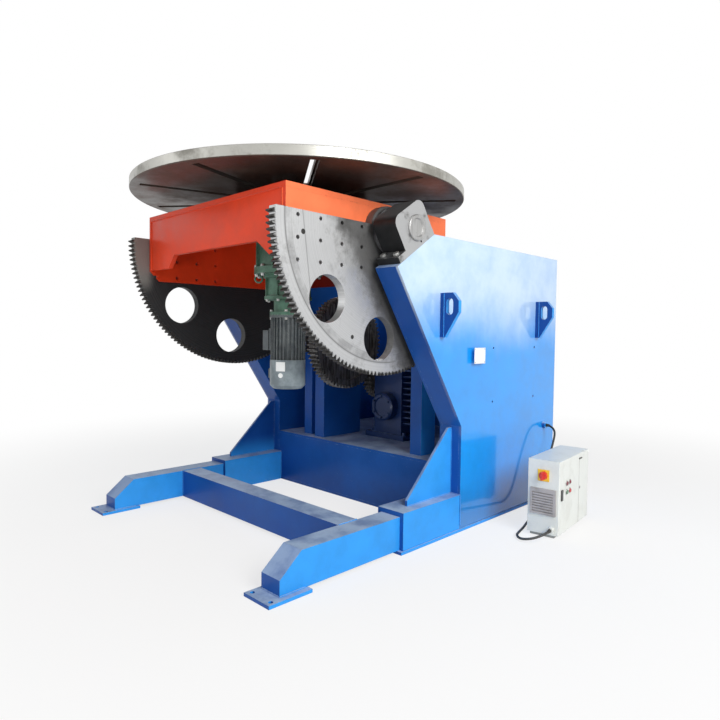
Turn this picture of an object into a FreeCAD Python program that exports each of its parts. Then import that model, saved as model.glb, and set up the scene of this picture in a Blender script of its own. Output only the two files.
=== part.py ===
"""Tilting and turning welding positioner, one STEP file per sub-part.

Frame: millimetres, +Z up.  The origin is on the floor, at the middle of the base's bottom plate.
The tilt axis runs along X.  -Y is the open working side, +Y the closed back.  The sizes below
count Y from the tilt axis, and save() moves each finished piece to the origin.
"""
import FreeCAD, Part
import math
import os

V = FreeCAD.Vector

# ---- driving dimensions -------------------------------------------------------------------
# turntable
TABLE_RADIUS = 1000.0
TABLE_THICKNESS = 55.0
TABLE_BORE_RADIUS = 75.0
SLOT_COUNT = 10
SLOT_THROAT = 28.0
SLOT_HEAD = 46.0
SLOT_HEAD_HEIGHT = 25.0
SLOT_START = 300.0
SLOT_RIM = 50.0
TABLE_EDGE = 4.0

# slewing ring and its drive
RING_STACK = 97.0
RING_MODULE = 8.0
RING_TEETH = 98
RING_PINION_TEETH = 20
RING_BORE = 330.0
RACE_BORE = 270.0
RACE_GAP = 0.06
RING_LIFT = 7.0
DRIVE_ANGLE = -47.7
PINION_FACE_DROP = 6.0

# tilt axis, sector gears and their pinions
AXIS_Z = 1690.0
SECTOR_MODULE = 9.0
SECTOR_FULL_TEETH = 170
SECTOR_FIRST = 178.0
SECTOR_LAST = 322.0
SECTOR_INNER = 683.0
SECTOR_THICKNESS = 50.0
SECTOR_TOP = 25.0
SECTOR_HUB_RADIUS = 135.0
SECTOR_HOLE_RADIUS = 118.0
SECTOR_HOLE_ORBIT = 578.0
SECTOR_HOLE_ANGLES = (221.0, 264.0)
SECTOR_BOLT_RADIUS = 10.0
SECTOR_BOLT_FRONT = -626.0
SECTOR_BOLT_DROP = 25.0
SECTOR_BOLT_PITCH_Y = 141.0
SECTOR_BOLT_PITCH_Z = 104.0
SECTOR_BOLT_COLUMNS = 4
SECTOR_BOLT_ROWS = 3
TILT_PINION_TEETH = 18
TILT_PINION_ANGLE = -46.8
TILT_SHAFT_RADIUS = 40.0

# bull gear and worm gearbox of the tilt drive
BULL_MODULE = 10.0
BULL_TEETH = 64
BULL_PINION_TEETH = 28
BULL_X = -190.0
BULL_WIDTH = 80.0
BULL_PINION_DROP = 273.3
BULL_RIM = 50.0
BULL_RECESS = 25.0
BULL_HUB_RADIUS = 90.0
BULL_SHAFT_OVERHANG = 20.0
PINION_SHAFT_RADIUS = 35.0

# trunnions and pillow blocks
TRUNNION_RADIUS = 55.0
TRUNNION_FLANGE_RADIUS = 120.0
TRUNNION_FLANGE_THICKNESS = 27.0
SEAT_DEPTH = 97.0
SEAT_SLOPE = 33.5
PILLOW_FRONT = 138.0
PILLOW_BACK = 118.0
PILLOW_CREST = 118.0
PILLOW_CORNER = 48.0
PILLOW_INSET = 0.5
PILLOW_BOLT_INSET = 32.0
PILLOW_BOLT_SETBACK = 28.0
PILLOW_BOLT_RADIUS = 10.0
PILLOW_BOLT_HOLE = 11.0
PILLOW_NUT_RADIUS = 17.0
PILLOW_NUT_HEIGHT = 13.0
PILLOW_SLIT = 6.0
PILLOW_SLIT_FLOOR = 20.0
PILLOW_BASE_HEIGHT = 36.0
PILLOW_BASE_BACK = 120.0
PILLOW_BASE_FRONT = 205.0
RUNNING_GAP = 0.05

# tilting box
BOX_FRONT = -660.0
BOX_REAR = 580.0
BOX_RISE = 158.0
BOX_PLATE = 25.0
BOX_TOP_PLATE = 28.0
BOX_FRONT_DROP = 175.0
BOX_SIDE_DROP = 237.0
BOX_REAR_DROP = 210.0
BOX_NOTCH_HEIGHT = 90.0
BOX_NOTCH_MARGIN = 68.0
BOX_NOTCH_RIGHT = 130.0
BOX_NOTCH_SLOPE = 60.0

# rotation drive: radius of each reducer stage and the drop of its end below the box top
REDUCER_STAGES = ((185.0, 395.0), (115.0, 529.0), (78.0, 612.0))
REDUCER_STEP = 25.0
REDUCER_RIBS = 8
LIFTING_EYE_RADIUS = 20.0
LIFTING_EYE_WIRE = 5.0
LIFTING_EYE_ORBIT = 162.0
LIFTING_EYE_ANGLE = 224.5
REDUCER_FLANGE = 18.0
MOTOR_FLANGE_RADIUS = 100.0
MOTOR_BODY_RADIUS = 82.0
MOTOR_FIN_RADIUS = 95.0
MOTOR_FIN_COUNT = 28
MOTOR_FIN_LENGTH = 242.0
COWL_DEPTH = 157.0
TERMINAL_DROP = 83.0
TERMINAL_SIZE = 110.0
TERMINAL_DEPTH = 55.0
TERMINAL_PAD = 12.0
GLAND_RADIUS = 11.0
GLAND_LENGTH = 22.0

# cheeks
CHEEK_CLEARANCE = 39.0
CHEEK_WIDTH = 153.0
CHEEK_PLATE = 16.0
KNEE_Y = 440.0
KNEE_Z = 612.0
CHEEK_NOSE_Y = -141.0
CHEEK_REAR = 1580.0
CHEEK_TOP_DROP = 14.0
SEAT_PLATE = 40.0
CABLE_HOLE_RADIUS = 22.0
CABLE_HOLE_SETBACK = 150.0
CABLE_HOLE_Z = 520.0
CABLE_GLAND_REACH = 24.0
TAP_RADIUS = 7.0
TAP_Y = (766.0, 1276.0)
TAP_Z = (732.0, 1062.0)

# base
BASE_PLATE = 16.0
LEG_INSET = 2.0
LEG_WIDTH = 130.0
LEG_TOP = 190.0
LEG_NOSE = -847.0
LEG_NOSE_TOP = 88.0
LEG_SHOULDER = -725.0
LEG_WALL = 12.0
SLEEVE_WALL = 24.0
SLEEVE_FRONT = -65.0
SLEEVE_FIT = 0.5
STRIP_MARGIN = 5.5
STRIP_FRONT = 20.0
STRIP_REAR = 10.0
FOOT_FRONT = -928.0
FOOT_REAR = -690.0
FOOT_MARGIN_IN = 16.0
FOOT_MARGIN_OUT = 34.0
FOOT_HOLE_RADIUS = 11.0
FOOT_HOLE_SETBACK = 28.0
FOOT_HOLE_PITCH = 130.0
BEAM_FRONT = -383.0
BEAM_REAR = -250.0
GUSSET_TIP = 45.0
GUSSET_TOP = 600.0
GUSSET_PLATE = 16.0
DECK_TOP = 375.0
TIE_DEPTH = 150.0
TIE_HEIGHT = 120.0
LUG_REACH = 120.0
LUG_PLATE = 25.0
LUG_DROP = 308.0
LUG_HEIGHT = 242.0
LUG_EYE_RADIUS = 22.0
LUG_EYE_STRETCH = 46.0
LUG_EYE_DROP = 98.0
LUG_PLACES = (230.0, 1296.0)

# columns, pedestal and shaft housings behind the box
SUPPORT_DROP = 80.0
LEFT_COLUMN = (-562.0, -480.0)
RIGHT_COLUMN = (480.0, 570.0)
COLUMN_FRONT = 60.0
COLUMN_BACK = 80.0
PEDESTAL = (-410.0, -313.0)
PEDESTAL_FRONT = 88.0
PEDESTAL_BACK = 290.0
HOUSING_RADIUS = 56.0
HOUSING_FOOT = 80.0
HOUSING_INSET = 6.0
RIGHT_SHAFT_OVERHANG = 40.0

# worm gearbox and tilt motor
GEARBOX_X = (-110.0, 150.0)
GEARBOX_HALF_DEPTH = 134.0
GEARBOX_CREST = 160.0
GEARBOX_FOOT = 38.0
GEARBOX_FIN_REACH = 90.0
GEARBOX_FIN_PITCH = 42.0
GEARBOX_FIN_COUNT = 10
WORM_HEIGHT = 237.0
WORM_COVER_RADIUS = 100.0
TILT_MOTOR_LENGTH = 270.0
TILT_MOTOR_BODY_RADIUS = 96.0
TILT_MOTOR_FIN_RADIUS = 111.0
TILT_MOTOR_FLANGE_RADIUS = 125.0
TILT_COWL_DEPTH = 110.0

# control cabinet
CABINET_STANDOFF = 466.0
CABINET_Y = 720.0
CABINET_TURN = 6.0
CABINET_WIDTH = 180.0
CABINET_DEPTH = 510.0
CABINET_HEIGHT = 440.0
CABINET_FOOT = 20.0
CABINET_SHEET = 3.0
DOOR_THICKNESS = 18.0
BUTTON_RADIUS = 11.0
BUTTON_PROUD = 8.0
BUTTONS = {"start_button": (120.0, 140.0), "stop_button": (120.0, 190.0), "jog_button": (170.0, 190.0)}
LATCH_Y = 30.0
LATCH_DROP = 165.0
LATCH_WIDTH = 24.0
LATCH_HEIGHT = 60.0
ISOLATOR_PLATE = 66.0
ISOLATOR_DROP = 87.0
FILTER_SIZE = 148.0
FILTER_GAP = 42.0
FILTER_LOUVRES = 8
FILTER_PITCH = 15.0
CABINET_GLAND = (-40.0, 52.0)

# ---- values that follow ---------------------------------------------------------------------
BOX_TOP = AXIS_Z + BOX_RISE
BOX_FRONT_BOTTOM = AXIS_Z - BOX_FRONT_DROP
BOX_SIDE_BOTTOM = AXIS_Z - BOX_SIDE_DROP
BOX_REAR_BOTTOM = AXIS_Z - BOX_REAR_DROP
TABLE_UNDERSIDE = BOX_TOP + RING_STACK
TABLE_TOP = TABLE_UNDERSIDE + TABLE_THICKNESS
SLOT_END = TABLE_RADIUS - SLOT_RIM
SECTOR_OUTER = SECTOR_INNER + SECTOR_THICKNESS
CHEEK_INNER = SECTOR_OUTER + CHEEK_CLEARANCE
CHEEK_OUTER = CHEEK_INNER + CHEEK_WIDTH
CHEEK_TOP = AXIS_Z - CHEEK_TOP_DROP
PILLOW_INNER = CHEEK_INNER + PILLOW_INSET
LEG_INNER = CHEEK_INNER - LEG_INSET
LEG_OUTER = LEG_INNER + LEG_WIDTH
FOOT_INNER = LEG_INNER - FOOT_MARGIN_IN
FOOT_OUTER = LEG_OUTER + FOOT_MARGIN_OUT
LUG_HIGH = CHEEK_TOP - LUG_DROP
LUG_LOW = LUG_HIGH - LUG_HEIGHT
CABINET_CORNER = (CHEEK_OUTER + CABINET_STANDOFF, CABINET_Y)
REDUCER_END = BOX_TOP - REDUCER_STAGES[-1][1]
MOTOR_FIN_BOTTOM = REDUCER_END - MOTOR_FIN_LENGTH
SECTOR_PITCH = SECTOR_MODULE * SECTOR_FULL_TEETH / 2
TILT_CENTRES = SECTOR_PITCH + SECTOR_MODULE * TILT_PINION_TEETH / 2
SHAFT_Y = TILT_CENTRES * math.cos(math.radians(TILT_PINION_ANGLE))
SHAFT_Z = AXIS_Z + TILT_CENTRES * math.sin(math.radians(TILT_PINION_ANGLE))
BULL_PINION_Z = SHAFT_Z - BULL_PINION_DROP
SUPPORT_TOP = SHAFT_Z - SUPPORT_DROP
GEARBOX_TOP = BULL_PINION_Z + GEARBOX_CREST
WORM_Z = DECK_TOP + WORM_HEIGHT
BULL_CENTRES = BULL_MODULE * (BULL_TEETH + BULL_PINION_TEETH) / 2
WORM_OUT_Y = SHAFT_Y + math.sqrt(BULL_CENTRES ** 2 - (SHAFT_Z - BULL_PINION_Z) ** 2)
DRIVE_CENTRES = RING_MODULE * (RING_TEETH + RING_PINION_TEETH) / 2
DRIVE_X = DRIVE_CENTRES * math.cos(math.radians(DRIVE_ANGLE))
DRIVE_Y = DRIVE_CENTRES * math.sin(math.radians(DRIVE_ANGLE))
ORIGIN_Y = (KNEE_Y + CHEEK_REAR) / 2
PRESSURE = math.radians(20)
BACKLASH = 0.7


# ---- small tools ----------------------------------------------------------------------------
def block(x0, x1, y0, y1, z0, z1):
    """Box between two corners, given in any order."""
    low = V(min(x0, x1), min(y0, y1), min(z0, z1))
    return Part.makeBox(abs(x1 - x0), abs(y1 - y0), abs(z1 - z0), low)


def rod(radius, start, end):
    """Solid cylinder between two points."""
    return Part.makeCylinder(radius, (end - start).Length, start, end - start)


def profile_yz(points, x0, x1):
    """Extrude an outline of (y, z) points from x0 to x1."""
    wire = Part.makePolygon([V(x0, y, z) for y, z in points] + [V(x0, *points[0])])
    return Part.Face(wire).extrude(V(x1 - x0, 0, 0))


def profile_xz(points, y0, y1):
    """Extrude an outline of (x, z) points from y0 to y1."""
    wire = Part.makePolygon([V(x, y0, z) for x, z in points] + [V(points[0][0], y0, points[0][1])])
    return Part.Face(wire).extrude(V(0, y1 - y0, 0))


def profile_xy(points, z0, z1):
    """Extrude an outline of (x, y) points from z0 to z1."""
    wire = Part.makePolygon([V(x, y, z0) for x, y in points] + [V(*points[0], z0)])
    return Part.Face(wire).extrude(V(0, 0, z1 - z0))


def turned(points, centre, axis=V(0, 0, 1)):
    """Revolve an outline of (radius, height) points about an axis through centre."""
    wire = Part.makePolygon([V(r, 0, h) for r, h in points] + [V(points[0][0], 0, points[0][1])])
    solid = Part.Face(wire).revolve(V(0, 0, 0), V(0, 0, 1), 360)
    solid.Placement = FreeCAD.Placement(centre, FreeCAD.Rotation(V(0, 0, 1), axis))
    return solid


def mirrored(shape):
    """The same piece on the other side of the mid-plane."""
    return shape.mirror(V(0, 0, 0), V(1, 0, 0))


def save(name, *shapes):
    """Move a node to the part's origin and write it; several shapes stay separate solids."""
    solids = []
    for shape in shapes:
        solids.extend(shape.removeSplitter().Solids)
    result = solids[0] if len(solids) == 1 else Part.makeCompound(solids)
    assert all(solid.isValid() for solid in solids), name
    result.translate(V(0, -ORIGIN_Y, 0))
    result.exportStep(os.path.join("parts", name + ".step"))


# ---- gear teeth -----------------------------------------------------------------------------
def involute(angle):
    """Involute function of a pressure angle."""
    return math.tan(angle) - angle


def half_tooth(radius, module, teeth):
    """Half the angle that one tooth covers at a radius."""
    pitch = module * teeth / 2
    base = pitch * math.cos(PRESSURE)
    local = math.acos(min(1.0, base / radius))
    play = BACKLASH / (2 * pitch)
    return math.pi / (2 * teeth) + involute(PRESSURE) - involute(local) - play


def tooth_points(module, teeth, centre_angle, steps):
    """Outline of one tooth, from its clockwise root to its counter-clockwise root."""
    pitch = module * teeth / 2
    root = pitch - 1.25 * module
    tip = pitch + module
    start = max(root, pitch * math.cos(PRESSURE))
    radii = [start + (tip - start) * i / steps for i in range(steps + 1)]
    flank = [(root, half_tooth(start, module, teeth))] if start > root + 0.01 else []
    flank += [(r, half_tooth(r, module, teeth)) for r in radii]
    rising = [(r * math.cos(centre_angle - a), r * math.sin(centre_angle - a)) for r, a in flank]
    falling = [(r * math.cos(centre_angle + a), r * math.sin(centre_angle + a)) for r, a in flank]
    return rising + falling[::-1]


def gear_outline(module, teeth, phase, steps):
    """Closed outline of a full gear whose first tooth is centred on phase (radians)."""
    points = []
    for index in range(teeth):
        points += tooth_points(module, teeth, phase + 2 * math.pi * index / teeth, steps)
    return points


def gear_along_x(module, teeth, phase, x0, x1, y, z, steps=2):
    """Full gear whose axis runs along X through (y, z)."""
    outline = [(y + p, z + q) for p, q in gear_outline(module, teeth, phase, steps)]
    return profile_yz(outline, x0, x1)


# ---- turning table --------------------------------------------------------------------------
def turntable():
    """Round plate with radial T-slots and a centre bore."""
    plate = turned([(TABLE_BORE_RADIUS, TABLE_UNDERSIDE), (TABLE_RADIUS - TABLE_EDGE, TABLE_UNDERSIDE),
                    (TABLE_RADIUS, TABLE_UNDERSIDE + TABLE_EDGE),
                    (TABLE_RADIUS, TABLE_TOP - TABLE_EDGE),
                    (TABLE_RADIUS - TABLE_EDGE, TABLE_TOP), (TABLE_BORE_RADIUS, TABLE_TOP)], V(0, 0, 0))
    cuts = []
    for index in range(SLOT_COUNT):
        throat = block(SLOT_START, SLOT_END, -SLOT_THROAT / 2, SLOT_THROAT / 2,
                       TABLE_UNDERSIDE - 1, TABLE_TOP + 1)
        head = block(SLOT_START, SLOT_END, -SLOT_HEAD / 2, SLOT_HEAD / 2,
                     TABLE_UNDERSIDE - 1, TABLE_UNDERSIDE + SLOT_HEAD_HEIGHT)
        slot = throat.fuse(head)
        slot.rotate(V(0, 0, 0), V(0, 0, 1), 360.0 * index / SLOT_COUNT)
        cuts.append(slot)
    save("turntable", plate.cut(cuts))


def slewing_ring():
    """Toothed outer ring below the table and the fixed inner race that carries it."""
    bottom = BOX_TOP + RING_LIFT
    phase = math.radians(DRIVE_ANGLE)
    outline = gear_outline(RING_MODULE, RING_TEETH, phase, 1)
    bore = Part.makeCylinder(RING_BORE, TABLE_UNDERSIDE - bottom, V(0, 0, bottom))
    save("ring_gear", profile_xy(outline, bottom, TABLE_UNDERSIDE).cut(bore))
    race_top = TABLE_UNDERSIDE - PINION_FACE_DROP
    race = turned([(RACE_BORE, BOX_TOP), (RING_BORE - RACE_GAP, BOX_TOP),
                   (RING_BORE - RACE_GAP, race_top), (RACE_BORE, race_top)], V(0, 0, 0))
    save("slewing_inner_ring", race)


def rotation_pinion():
    """Pinion and output shaft that turn the table."""
    phase = math.radians(DRIVE_ANGLE) + math.pi + math.pi / RING_PINION_TEETH
    outline = [(DRIVE_X + x, DRIVE_Y + y)
               for x, y in gear_outline(RING_MODULE, RING_PINION_TEETH, phase, 2)]
    wheel = profile_xy(outline, BOX_TOP + RING_LIFT, TABLE_UNDERSIDE - PINION_FACE_DROP)
    shaft = rod(TRUNNION_RADIUS, V(DRIVE_X, DRIVE_Y, BOX_TOP - BOX_TOP_PLATE),
                V(DRIVE_X, DRIVE_Y, BOX_TOP + RING_LIFT))
    save("rotation_pinion", wheel.fuse(shaft))


# ---- tilting box ----------------------------------------------------------------------------
def tilting_box():
    """Welded plates of the box that carries the slewing ring."""
    under_top = BOX_TOP - BOX_TOP_PLATE
    side_in = SECTOR_INNER - BOX_PLATE
    notch = BOX_FRONT_BOTTOM + BOX_NOTCH_HEIGHT
    notch_left = BOX_NOTCH_MARGIN - side_in
    front = profile_xz([(-side_in, BOX_FRONT_BOTTOM), (-side_in, under_top), (side_in, under_top),
                        (side_in, BOX_FRONT_BOTTOM), (BOX_NOTCH_RIGHT + BOX_NOTCH_SLOPE, BOX_FRONT_BOTTOM),
                        (BOX_NOTCH_RIGHT, notch), (notch_left + BOX_NOTCH_SLOPE, notch),
                        (notch_left, BOX_FRONT_BOTTOM)], BOX_FRONT, BOX_FRONT + BOX_PLATE)
    save("frame_front_plate", front)
    save("frame_rear_plate",
         block(-side_in, side_in, BOX_REAR - BOX_PLATE, BOX_REAR, BOX_REAR_BOTTOM, under_top))
    chamfer = BOX_FRONT_BOTTOM - BOX_SIDE_BOTTOM
    side = profile_yz([(BOX_FRONT, BOX_FRONT_BOTTOM), (BOX_FRONT, under_top), (BOX_REAR, under_top),
                       (BOX_REAR, BOX_SIDE_BOTTOM), (BOX_FRONT + chamfer, BOX_SIDE_BOTTOM)],
                      side_in, SECTOR_INNER)
    bolts = [rod(SECTOR_BOLT_RADIUS, V(side_in - 1, y, z), V(SECTOR_INNER + 1, y, z))
             for y, z in sector_bolt_places() if z > BOX_SIDE_BOTTOM + 20]
    side = side.cut(bolts)
    save("frame_side_plates", side, mirrored(side))
    top = block(-SECTOR_INNER, SECTOR_INNER, BOX_FRONT, BOX_REAR, under_top, BOX_TOP)
    opening = Part.makeCylinder(RACE_BORE, BOX_TOP_PLATE + 2, V(0, 0, under_top - 1))
    drive = Part.makeCylinder(TRUNNION_RADIUS + RUNNING_GAP, BOX_TOP_PLATE + 2,
                              V(DRIVE_X, DRIVE_Y, under_top - 1))
    save("frame_top_plate", top.cut([opening, drive]))


def sector_bolt_places():
    """Centres (y, z) of the bolt holes that fasten a sector to the box."""
    top = AXIS_Z + SECTOR_TOP - SECTOR_BOLT_DROP
    return [(SECTOR_BOLT_FRONT + SECTOR_BOLT_PITCH_Y * column, top - SECTOR_BOLT_PITCH_Z * row)
            for column in range(SECTOR_BOLT_COLUMNS) for row in range(SECTOR_BOLT_ROWS)]


def sector_gears():
    """Toothed sectors: wedge of teeth, round hub, two large holes and the bolt grid."""
    step = 360.0 / SECTOR_FULL_TEETH
    mesh = 360.0 + TILT_PINION_ANGLE
    first = math.ceil((SECTOR_FIRST - mesh) / step)
    last = math.floor((SECTOR_LAST - mesh) / step)
    outline = []
    for index in range(first, last + 1):
        angle = math.radians(mesh + index * step)
        outline += tooth_points(SECTOR_MODULE, SECTOR_FULL_TEETH, angle, 1)
    points = [(y, AXIS_Z + z) for y, z in outline]
    root = points[0]
    hub_top = (0.0, AXIS_Z + SECTOR_TOP)
    body = profile_yz([hub_top, (root[0], AXIS_Z + SECTOR_TOP)] + points
                      + [(SECTOR_HUB_RADIUS * 0.6, AXIS_Z)], SECTOR_INNER, SECTOR_OUTER)
    hub = rod(SECTOR_HUB_RADIUS, V(SECTOR_INNER, 0, AXIS_Z), V(SECTOR_OUTER, 0, AXIS_Z))
    cuts = []
    for angle in SECTOR_HOLE_ANGLES:
        y = SECTOR_HOLE_ORBIT * math.cos(math.radians(angle))
        z = AXIS_Z + SECTOR_HOLE_ORBIT * math.sin(math.radians(angle))
        cuts.append(rod(SECTOR_HOLE_RADIUS, V(SECTOR_INNER - 1, y, z), V(SECTOR_OUTER + 1, y, z)))
    for y, z in sector_bolt_places():
        cuts.append(rod(SECTOR_BOLT_RADIUS, V(SECTOR_INNER - 1, y, z), V(SECTOR_OUTER + 1, y, z)))
    sector = body.fuse(hub).cut(cuts)
    save("right_sector_gear", sector)
    save("left_sector_gear", mirrored(sector))


def trunnion_shafts():
    """Flanged stub shafts that carry the box in the pillow blocks."""
    end = CHEEK_OUTER - 8
    profile = [(0, 0), (TRUNNION_FLANGE_RADIUS, 0), (TRUNNION_FLANGE_RADIUS, TRUNNION_FLANGE_THICKNESS),
               (TRUNNION_RADIUS + 12, TRUNNION_FLANGE_THICKNESS + 8),
               (TRUNNION_RADIUS, TRUNNION_FLANGE_THICKNESS + 8),
               (TRUNNION_RADIUS, end - SECTOR_OUTER), (0, end - SECTOR_OUTER)]
    shaft = turned(profile, V(SECTOR_OUTER, 0, AXIS_Z), V(1, 0, 0))
    save("trunnion_shafts", shaft, mirrored(shaft))


# ---- rotation drive -------------------------------------------------------------------------
def rotation_reducer():
    """Stepped cycloidal reducer hanging below the top plate, with flanges and ribs."""
    top = BOX_TOP - BOX_TOP_PLATE
    (big, big_end), (mid, mid_end), (neck, neck_end) = [(r, BOX_TOP - drop) for r, drop in REDUCER_STAGES]
    flange = REDUCER_FLANGE
    shell = big - REDUCER_STEP
    profile = [(0, top), (big, top), (big, top - flange), (shell, top - flange - 6),
               (shell, big_end + 2 * flange + 6), (big, big_end + 2 * flange), (big, big_end),
               (mid + 20, big_end), (mid + 20, big_end - flange), (mid, big_end - flange - 4),
               (mid, mid_end + flange + 4), (mid + 14, mid_end + flange), (mid + 14, mid_end),
               (neck, mid_end - 6), (neck, neck_end + flange), (MOTOR_FLANGE_RADIUS, neck_end + flange),
               (MOTOR_FLANGE_RADIUS, neck_end), (0, neck_end)]
    body = turned(profile, V(DRIVE_X, DRIVE_Y, 0))
    ribs = []
    for index in range(REDUCER_RIBS):
        rib = block(big - 28, big - 6, -6, 6, big_end + flange, top - flange / 2)
        fin = block(mid - 4, mid + 12, -5, 5, mid_end + flange / 2, big_end - flange / 2)
        for piece in (rib, fin):
            piece.rotate(V(0, 0, 0), V(0, 0, 1), 360.0 * (index + 0.5) / REDUCER_RIBS)
            piece.translate(V(DRIVE_X, DRIVE_Y, 0))
            ribs.append(piece)
    turn = math.radians(LIFTING_EYE_ANGLE)
    arm = V(math.cos(turn), math.sin(turn), 0)
    eye = Part.makeTorus(LIFTING_EYE_RADIUS, LIFTING_EYE_WIRE, V(0, 0, 0), V(0, 0, 1).cross(arm))
    eye.translate(V(DRIVE_X, DRIVE_Y, big_end - LIFTING_EYE_RADIUS) + arm * LIFTING_EYE_ORBIT)
    save("rotation_reducer", body.fuse(ribs + [eye]))


def finned_barrel(length, body, fins, count, thickness=5.0):
    """Motor barrel along +Z from the origin, with straight cooling fins."""
    barrel = Part.makeCylinder(body, length)
    blades = []
    for index in range(count):
        blade = block(body - 3, fins, -thickness / 2, thickness / 2, 0, length)
        blade.rotate(V(0, 0, 0), V(0, 0, 1), 360.0 * index / count)
        blades.append(blade)
    return barrel.fuse(blades)


def cowl(radius, depth, wall=4.0, slots=8):
    """Fan cowl along +Z from the origin, open at the start, slotted at its closed end."""
    shell = turned([(radius - wall, 0), (radius, 0), (radius, depth - 18), (radius - 18, depth),
                    (0, depth), (0, depth - wall), (radius - 22, depth - wall),
                    (radius - wall, depth - 22)], V(0, 0, 0))
    cuts = []
    for index in range(slots):
        slot = block(radius * 0.28, radius * 0.72, -7, 7, depth - 2 * wall, depth + 1)
        slot.rotate(V(0, 0, 0), V(0, 0, 1), 360.0 * index / slots)
        cuts.append(slot)
    return shell.cut(cuts)


def rotation_motor():
    """Finned motor, its fan cowl and its terminal box, hanging below the reducer."""
    top = REDUCER_END
    down = FreeCAD.Rotation(V(1, 0, 0), 180)
    flange = Part.makeCylinder(MOTOR_FLANGE_RADIUS, 14)
    barrel = finned_barrel(MOTOR_FIN_LENGTH, MOTOR_BODY_RADIUS, MOTOR_FIN_RADIUS, MOTOR_FIN_COUNT)
    motor = barrel.fuse(flange)
    pad = block(-MOTOR_FIN_RADIUS - TERMINAL_PAD, 0, -TERMINAL_SIZE / 2 + 5, TERMINAL_SIZE / 2 - 5,
                TERMINAL_DROP - 10, TERMINAL_DROP + TERMINAL_SIZE)
    motor = motor.fuse(pad)
    motor.Placement = FreeCAD.Placement(V(DRIVE_X, DRIVE_Y, top), down)
    save("rotation_motor", motor)
    hood = cowl(MOTOR_FIN_RADIUS + 2, COWL_DEPTH)
    hood.Placement = FreeCAD.Placement(V(DRIVE_X, DRIVE_Y, MOTOR_FIN_BOTTOM), down)
    save("motor_cowl", hood)
    face = DRIVE_X - MOTOR_FIN_RADIUS - TERMINAL_PAD
    outside = face - TERMINAL_DEPTH
    low = top - TERMINAL_DROP - TERMINAL_SIZE
    box = block(outside, face, DRIVE_Y - TERMINAL_SIZE / 2, DRIVE_Y + TERMINAL_SIZE / 2,
                low, low + TERMINAL_SIZE)
    box = box.makeChamfer(6, [e for e in box.Edges if abs(e.CenterOfMass.x - outside) < 1])
    entry = (face + outside) / 2
    gland = rod(GLAND_RADIUS, V(entry, DRIVE_Y, low), V(entry, DRIVE_Y, low - GLAND_LENGTH))
    save("motor_terminal_box", box.fuse(gland))


# ---- pillow blocks --------------------------------------------------------------------------
def on_seat(shape):
    """Move a shape made at the tilt axis, base down, to stand square on the sloping seat."""
    shape.rotate(V(0, 0, 0), V(1, 0, 0), SEAT_SLOPE)
    shape.translate(V(0, 0, AXIS_Z))
    return shape


def pillow_blocks():
    """Bearing housings on the sloping seats, with end covers and hold-down bolts."""
    x0 = PILLOW_INNER
    base = block(x0, CHEEK_OUTER, -PILLOW_BASE_FRONT, PILLOW_BASE_BACK, -SEAT_DEPTH,
                 -SEAT_DEPTH + PILLOW_BASE_HEIGHT)
    body = block(x0, CHEEK_OUTER, -PILLOW_FRONT, PILLOW_BACK, -SEAT_DEPTH, PILLOW_CREST)
    crest = [e for e in body.Edges if abs(e.CenterOfMass.z - PILLOW_CREST) < 1
             and min(abs(e.CenterOfMass.y + PILLOW_FRONT), abs(e.CenterOfMass.y - PILLOW_BACK)) < 1]
    body = body.makeFillet(PILLOW_CORNER, crest)
    split = block(x0 - 1, CHEEK_OUTER + 1, -PILLOW_SLIT / 2, PILLOW_SLIT / 2,
                  -SEAT_DEPTH + PILLOW_SLIT_FLOOR, -TRUNNION_RADIUS)
    drain = V(x0 - 1, 0, -SEAT_DEPTH + PILLOW_SLIT_FLOOR)
    split = split.fuse(rod(PILLOW_SLIT, drain, V(CHEEK_OUTER + 1, 0, drain.z)))
    bore = rod(TRUNNION_RADIUS + RUNNING_GAP, V(x0 - 1, 0, 0), V(CHEEK_OUTER + 1, 0, 0))
    bolt_x = (x0 + PILLOW_BOLT_INSET, CHEEK_OUTER - PILLOW_BOLT_INSET)
    y = -PILLOW_BASE_FRONT + PILLOW_BOLT_SETBACK
    holes = [rod(PILLOW_BOLT_HOLE, V(x, y, -SEAT_DEPTH - 1), V(x, y, 0)) for x in bolt_x]
    block_shape = base.fuse(body).cut([split, bore] + holes)
    right = on_seat(block_shape)
    save("right_pillow_block", right)
    save("left_pillow_block", mirrored(right))
    bolts = []
    seat = -SEAT_DEPTH + PILLOW_BASE_HEIGHT
    corners = [math.radians(60 * i) for i in range(6)]
    for x in bolt_x:
        shank = rod(PILLOW_BOLT_RADIUS, V(x, y, -SEAT_DEPTH), V(x, y, seat))
        head = profile_xy([(x + PILLOW_NUT_RADIUS * math.cos(a), y + PILLOW_NUT_RADIUS * math.sin(a))
                           for a in corners], seat, seat + PILLOW_NUT_HEIGHT)
        bolts.append(on_seat(shank.fuse(head)))
    save("pillow_bolts", *(bolts + [mirrored(bolt) for bolt in bolts]))
    cover = turned([(0, 6), (TRUNNION_RADIUS - 12, 6), (TRUNNION_RADIUS - 6, 14), (TRUNNION_RADIUS + 8, 14),
                    (TRUNNION_RADIUS + 12, 10), (TRUNNION_RADIUS + 12, 0), (0, 0)],
                   V(CHEEK_OUTER, 0, AXIS_Z), V(1, 0, 0))
    save("trunnion_covers", cover, mirrored(cover))


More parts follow.
